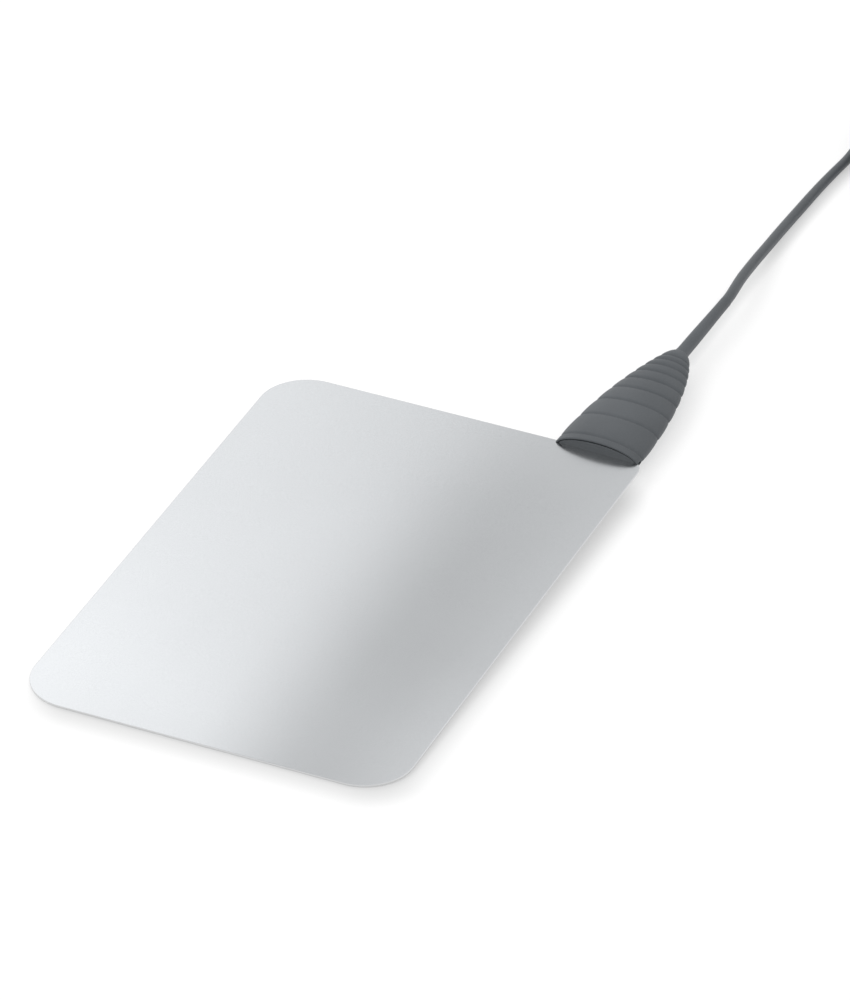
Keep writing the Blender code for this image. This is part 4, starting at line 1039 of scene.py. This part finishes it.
def coil_strap(node, name, angle, material):
    """A hook-and-loop strap round the coil: a closed loop, with its free end lapped over the top and side."""
    half = COIL_TURNS_PER_LAYER * COIL_TURN_PITCH / 2 + CABLE_RADIUS
    margin = STRAP_GAP + STRAP_THICKNESS / 2
    inner = math.sqrt((COIL_MIDDLE_RADIUS - half) ** 2 - (STRAP_WIDTH / 2) ** 2) - margin
    low = (inner, STRAP_THICKNESS / 2)
    high = (COIL_MIDDLE_RADIUS + half + margin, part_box(node)[1].z - STRAP_THICKNESS / 2)
    loop_points, loop_faces, loop_places = strap_layer(*strap_path(low, high, 0.0), True)
    path, ways = strap_path(low, high, STRAP_THICKNESS + STRAP_LAP_GAP)
    start, end = STRAP_LAP
    used = (ways > start) & (ways < end)
    lap_points, lap_faces, lap_places = strap_layer(path[used], ways[used], False)
    faces = loop_faces + [[k + len(loop_points) for k in face] for face in lap_faces]
    piece = add_mesh(name, np.concatenate([loop_points, lap_points]), faces, material, 50)
    places = np.concatenate([loop_places, lap_places])
    corners = np.empty(len(piece.data.loops), dtype=int)
    piece.data.loops.foreach_get("vertex_index", corners)
    piece.data.uv_layers.new(name="strap").data.foreach_set("uv", places[corners].ravel())
    piece.data.transform(Matrix.Translation(coil_centre()) @ Matrix.Rotation(angle, 4, "Z"))
    turn_outwards(piece)
    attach(piece, BODY)
    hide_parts(node)
    return piece


def lead(material):
    """The lead in one piece, a little fuller as far as the picture shows it, and thinner before the coil."""
    path = lead_path()
    start, end = LEAD_FULL_REACH
    thinned = smooth_step((travelled(path) - start) / (end - start))
    radius = LEAD_FULL_RADIUS + (CABLE_RADIUS - LEAD_FULL_RADIUS) * thinned
    piece = round_tube("lead", path, radius, 24, material)
    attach(piece, BODY)
    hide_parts("cable", "cable_coil", "cable_tail")
    return piece, path


def camera_direction():
    """From the target to the camera: turned from -Y towards +X, and raised."""
    level = math.cos(CAMERA_RISE)
    return Vector((math.sin(CAMERA_TURN) * level, -math.cos(CAMERA_TURN) * level, math.sin(CAMERA_RISE)))


def look_through_camera():
    """The photograph's camera, on a sphere round its target, rolled a little."""
    back = camera_direction()
    data = bpy.data.cameras.new("camera")
    data.lens = CAMERA_LENS
    data.sensor_width = CAMERA_SENSOR
    data.sensor_fit = "AUTO"
    data.clip_start = 0.1
    data.clip_end = 50
    camera = bpy.data.objects.new("camera", data)
    camera.location = Vector((0, NEAR_EDGE, 0)) + Vector(CAMERA_TARGET) + back * CAMERA_DISTANCE
    roll = Quaternion((0, 0, 1), CAMERA_ROLL)
    camera.rotation_euler = (back.to_track_quat("Z", "Y") @ roll).to_euler()
    bpy.context.scene.collection.objects.link(camera)
    bpy.context.scene.camera = camera


def area_light(name, place, size, power):
    """A large soft lamp that gloss doesn't see, turned towards the plate."""
    data = bpy.data.lights.new(name, "AREA")
    data.shape = "RECTANGLE"
    data.size, data.size_y = size
    data.energy = power
    lamp = bpy.data.objects.new(name, data)
    lamp.location = place
    lamp.rotation_euler = (Vector(place) - Vector(LAMP_TARGET)).to_track_quat("Z", "Y").to_euler()
    lamp.visible_glossy = False
    bpy.context.scene.collection.objects.link(lamp)


def flat_board(name, x, y, material):
    """A level rectangle round the origin, from its half width and half length."""
    corners = np.array([[-x, -y, 0], [x, -y, 0], [x, y, 0], [-x, y, 0]], float)
    return add_mesh(name, corners, [[0, 1, 2, 3]], material)


def studio_floor():
    """A wide floor, flat, just under everything."""
    piece = flat_board("studio_floor", FLOOR_HALF_WIDTH, FLOOR_HALF_WIDTH, floor_paper())
    piece.location.z = -FLOOR_GAP


def plate_card():
    """A glowing card that only the gloss sees. It hangs where the plate mirrors it to the camera, and its
    glow runs across the plate: bright on the left, a dark band on the right, and brighter towards the near
    edge."""
    normal = PLATE_FRAME.to_3x3() @ Vector((0, 0, 1))
    toward = -camera_direction().reflect(normal)
    n = Nodes("plate_card")
    split = n.add("ShaderNodeSeparateXYZ")
    n.put(split.inputs[0], n.place)

    def across(stops, axis="X", half=CARD_HALF_WIDTH, plate=PLATE_WIDTH):
        """Maps a place on the card through stops that are given in millimetres on the plate."""
        share = n.sums(n.sums(split.outputs[axis], 2 * half, "DIVIDE"), 0.5)
        return n.ramp(share, [((at * MM - plate / 2) / (2 * half) + 0.5, level) for at, level in stops])

    def along(stops):
        """The same along the plate."""
        return across(stops, "Y", CARD_HALF_LENGTH, PLATE_LENGTH)

    glow = n.sums(across(GLOW_ACROSS), along(GLOW_ALONG), "MULTIPLY")
    band = n.sums(across(BAND_ACROSS), along(BAND_ALONG), "MULTIPLY")
    level = n.sums(glow, n.sums(1.0, band, "SUBTRACT"), "MULTIPLY")
    emission = n.add("ShaderNodeEmission")
    emission.inputs["Color"].default_value = CARD_TINT
    n.put(emission.inputs["Strength"], n.sums(level, CARD_GLOW, "MULTIPLY"))
    n.put(n.tree.nodes["Material Output"].inputs["Surface"], emission.outputs[0])
    card = flat_board("plate_card", CARD_HALF_WIDTH, CARD_HALF_LENGTH, n.material)
    card.location = PLATE_FRAME @ Vector((0, PLATE_LENGTH / 2, 0)) + toward * (CARD_HEIGHT / toward.z)
    card.visible_camera = False
    card.visible_diffuse = False
    card.visible_shadow = False
    card.visible_transmission = False


def studio_sky(level):
    """An even white sky all round."""
    world = bpy.data.worlds.new("studio")
    bpy.context.scene.world = world
    world.use_nodes = True
    sky = world.node_tree.nodes["Background"]
    sky.inputs["Color"].default_value = (1.0, 1.0, 1.0, 1.0)
    sky.inputs["Strength"].default_value = level


steel = satin_steel()
boot_rubber = soft_rubber("boot_rubber", (0.066, 0.073, 0.080), (0.100, 0.109, 0.118), 0.52)
jacket = soft_rubber("cable_jacket", (0.072, 0.079, 0.086), (0.100, 0.109, 0.118), 0.46)
insert = hard_plastic("insert_plastic", (0.076, 0.083, 0.089), 0.5)
tinned = plated("tinned_copper", (0.66, 0.65, 0.63), 0.34)
copper = plated("bare_copper", (0.78, 0.40, 0.25), 0.34)
nickel = plated("nickel", (0.70, 0.69, 0.66), 0.16)
insulator = hard_plastic("insulator", (0.03, 0.03, 0.032), 0.4)
strap = strap_webbing()

look_through_camera()
lead_piece, lead_line = lead(jacket)
plate_sheet(steel)
boot_sleeve(boot_rubber)

COPIES = (
    ("rivet", "rivet_body", steel, "satin_steel"),
    ("ring_terminal", "terminal", tinned, "tinned_copper"),
    ("boot_conductor_end", "conductor_in_boot", copper, "bare_copper"),
    ("boot_cable_end", "jacket_in_boot", jacket, "cable_jacket"),
    ("boot_ferrule", "ferrule_in_boot", tinned, "tinned_copper"),
    ("plug_rear_bush", "jack_bush", insulator, "insulator"),
    ("plug_conductor_end", "conductor_in_plug", copper, "bare_copper"),
    ("plug_cable_end", "jacket_in_plug", jacket, "cable_jacket"),
    ("plug_ferrule", "ferrule_in_plug", tinned, "tinned_copper"),
)
INSERTS = (("insert_upper", "insert_top", 1), ("insert_lower", "insert_bottom", -1))
TURNED = (
    ("relief", "plug_strain_relief", relief_profile(), boot_rubber, "boot_rubber", 40),
    ("grip", "plug_grip", grip_profile(), boot_rubber, "boot_rubber", 40),
    ("jack_sleeve", "plug_sleeve", sleeve_profile(), nickel, "nickel", 35),
    ("jack_insulator", "plug_insulator", insulator_profile(), insulator, "insulator", 35),
    ("jack_tip", "plug_tip", tip_profile(), nickel, "nickel", 40),
)
made = {}
for node, name, material, slot in COPIES:
    made[node] = smooth_copy(node, name, material)
for node, name, side in INSERTS:
    made[node] = smooth_copy(node, name, insert, insert_front(side, insert))
    press_on_plate(made[node])
for name, node, profile, material, slot, smooth_angle in TURNED:
    made[node] = turned(name, node, profile, material, smooth_angle)
for node, angle in STRAP_ANGLES.items():
    made[node] = coil_strap(node, node.replace("coil_tie", "strap"), angle, strap)

studio_floor()
studio_sky(SKY_LEVEL)
plate_card()
area_light("key", (-1.30, -1.50, 1.55), (1.2, 1.2), LAMP_POWER)
area_light("back", (-1.45, 1.55, 1.15), (1.2, 0.9), LAMP_POWER)
bpy.context.scene.view_settings.view_transform = "Standard"
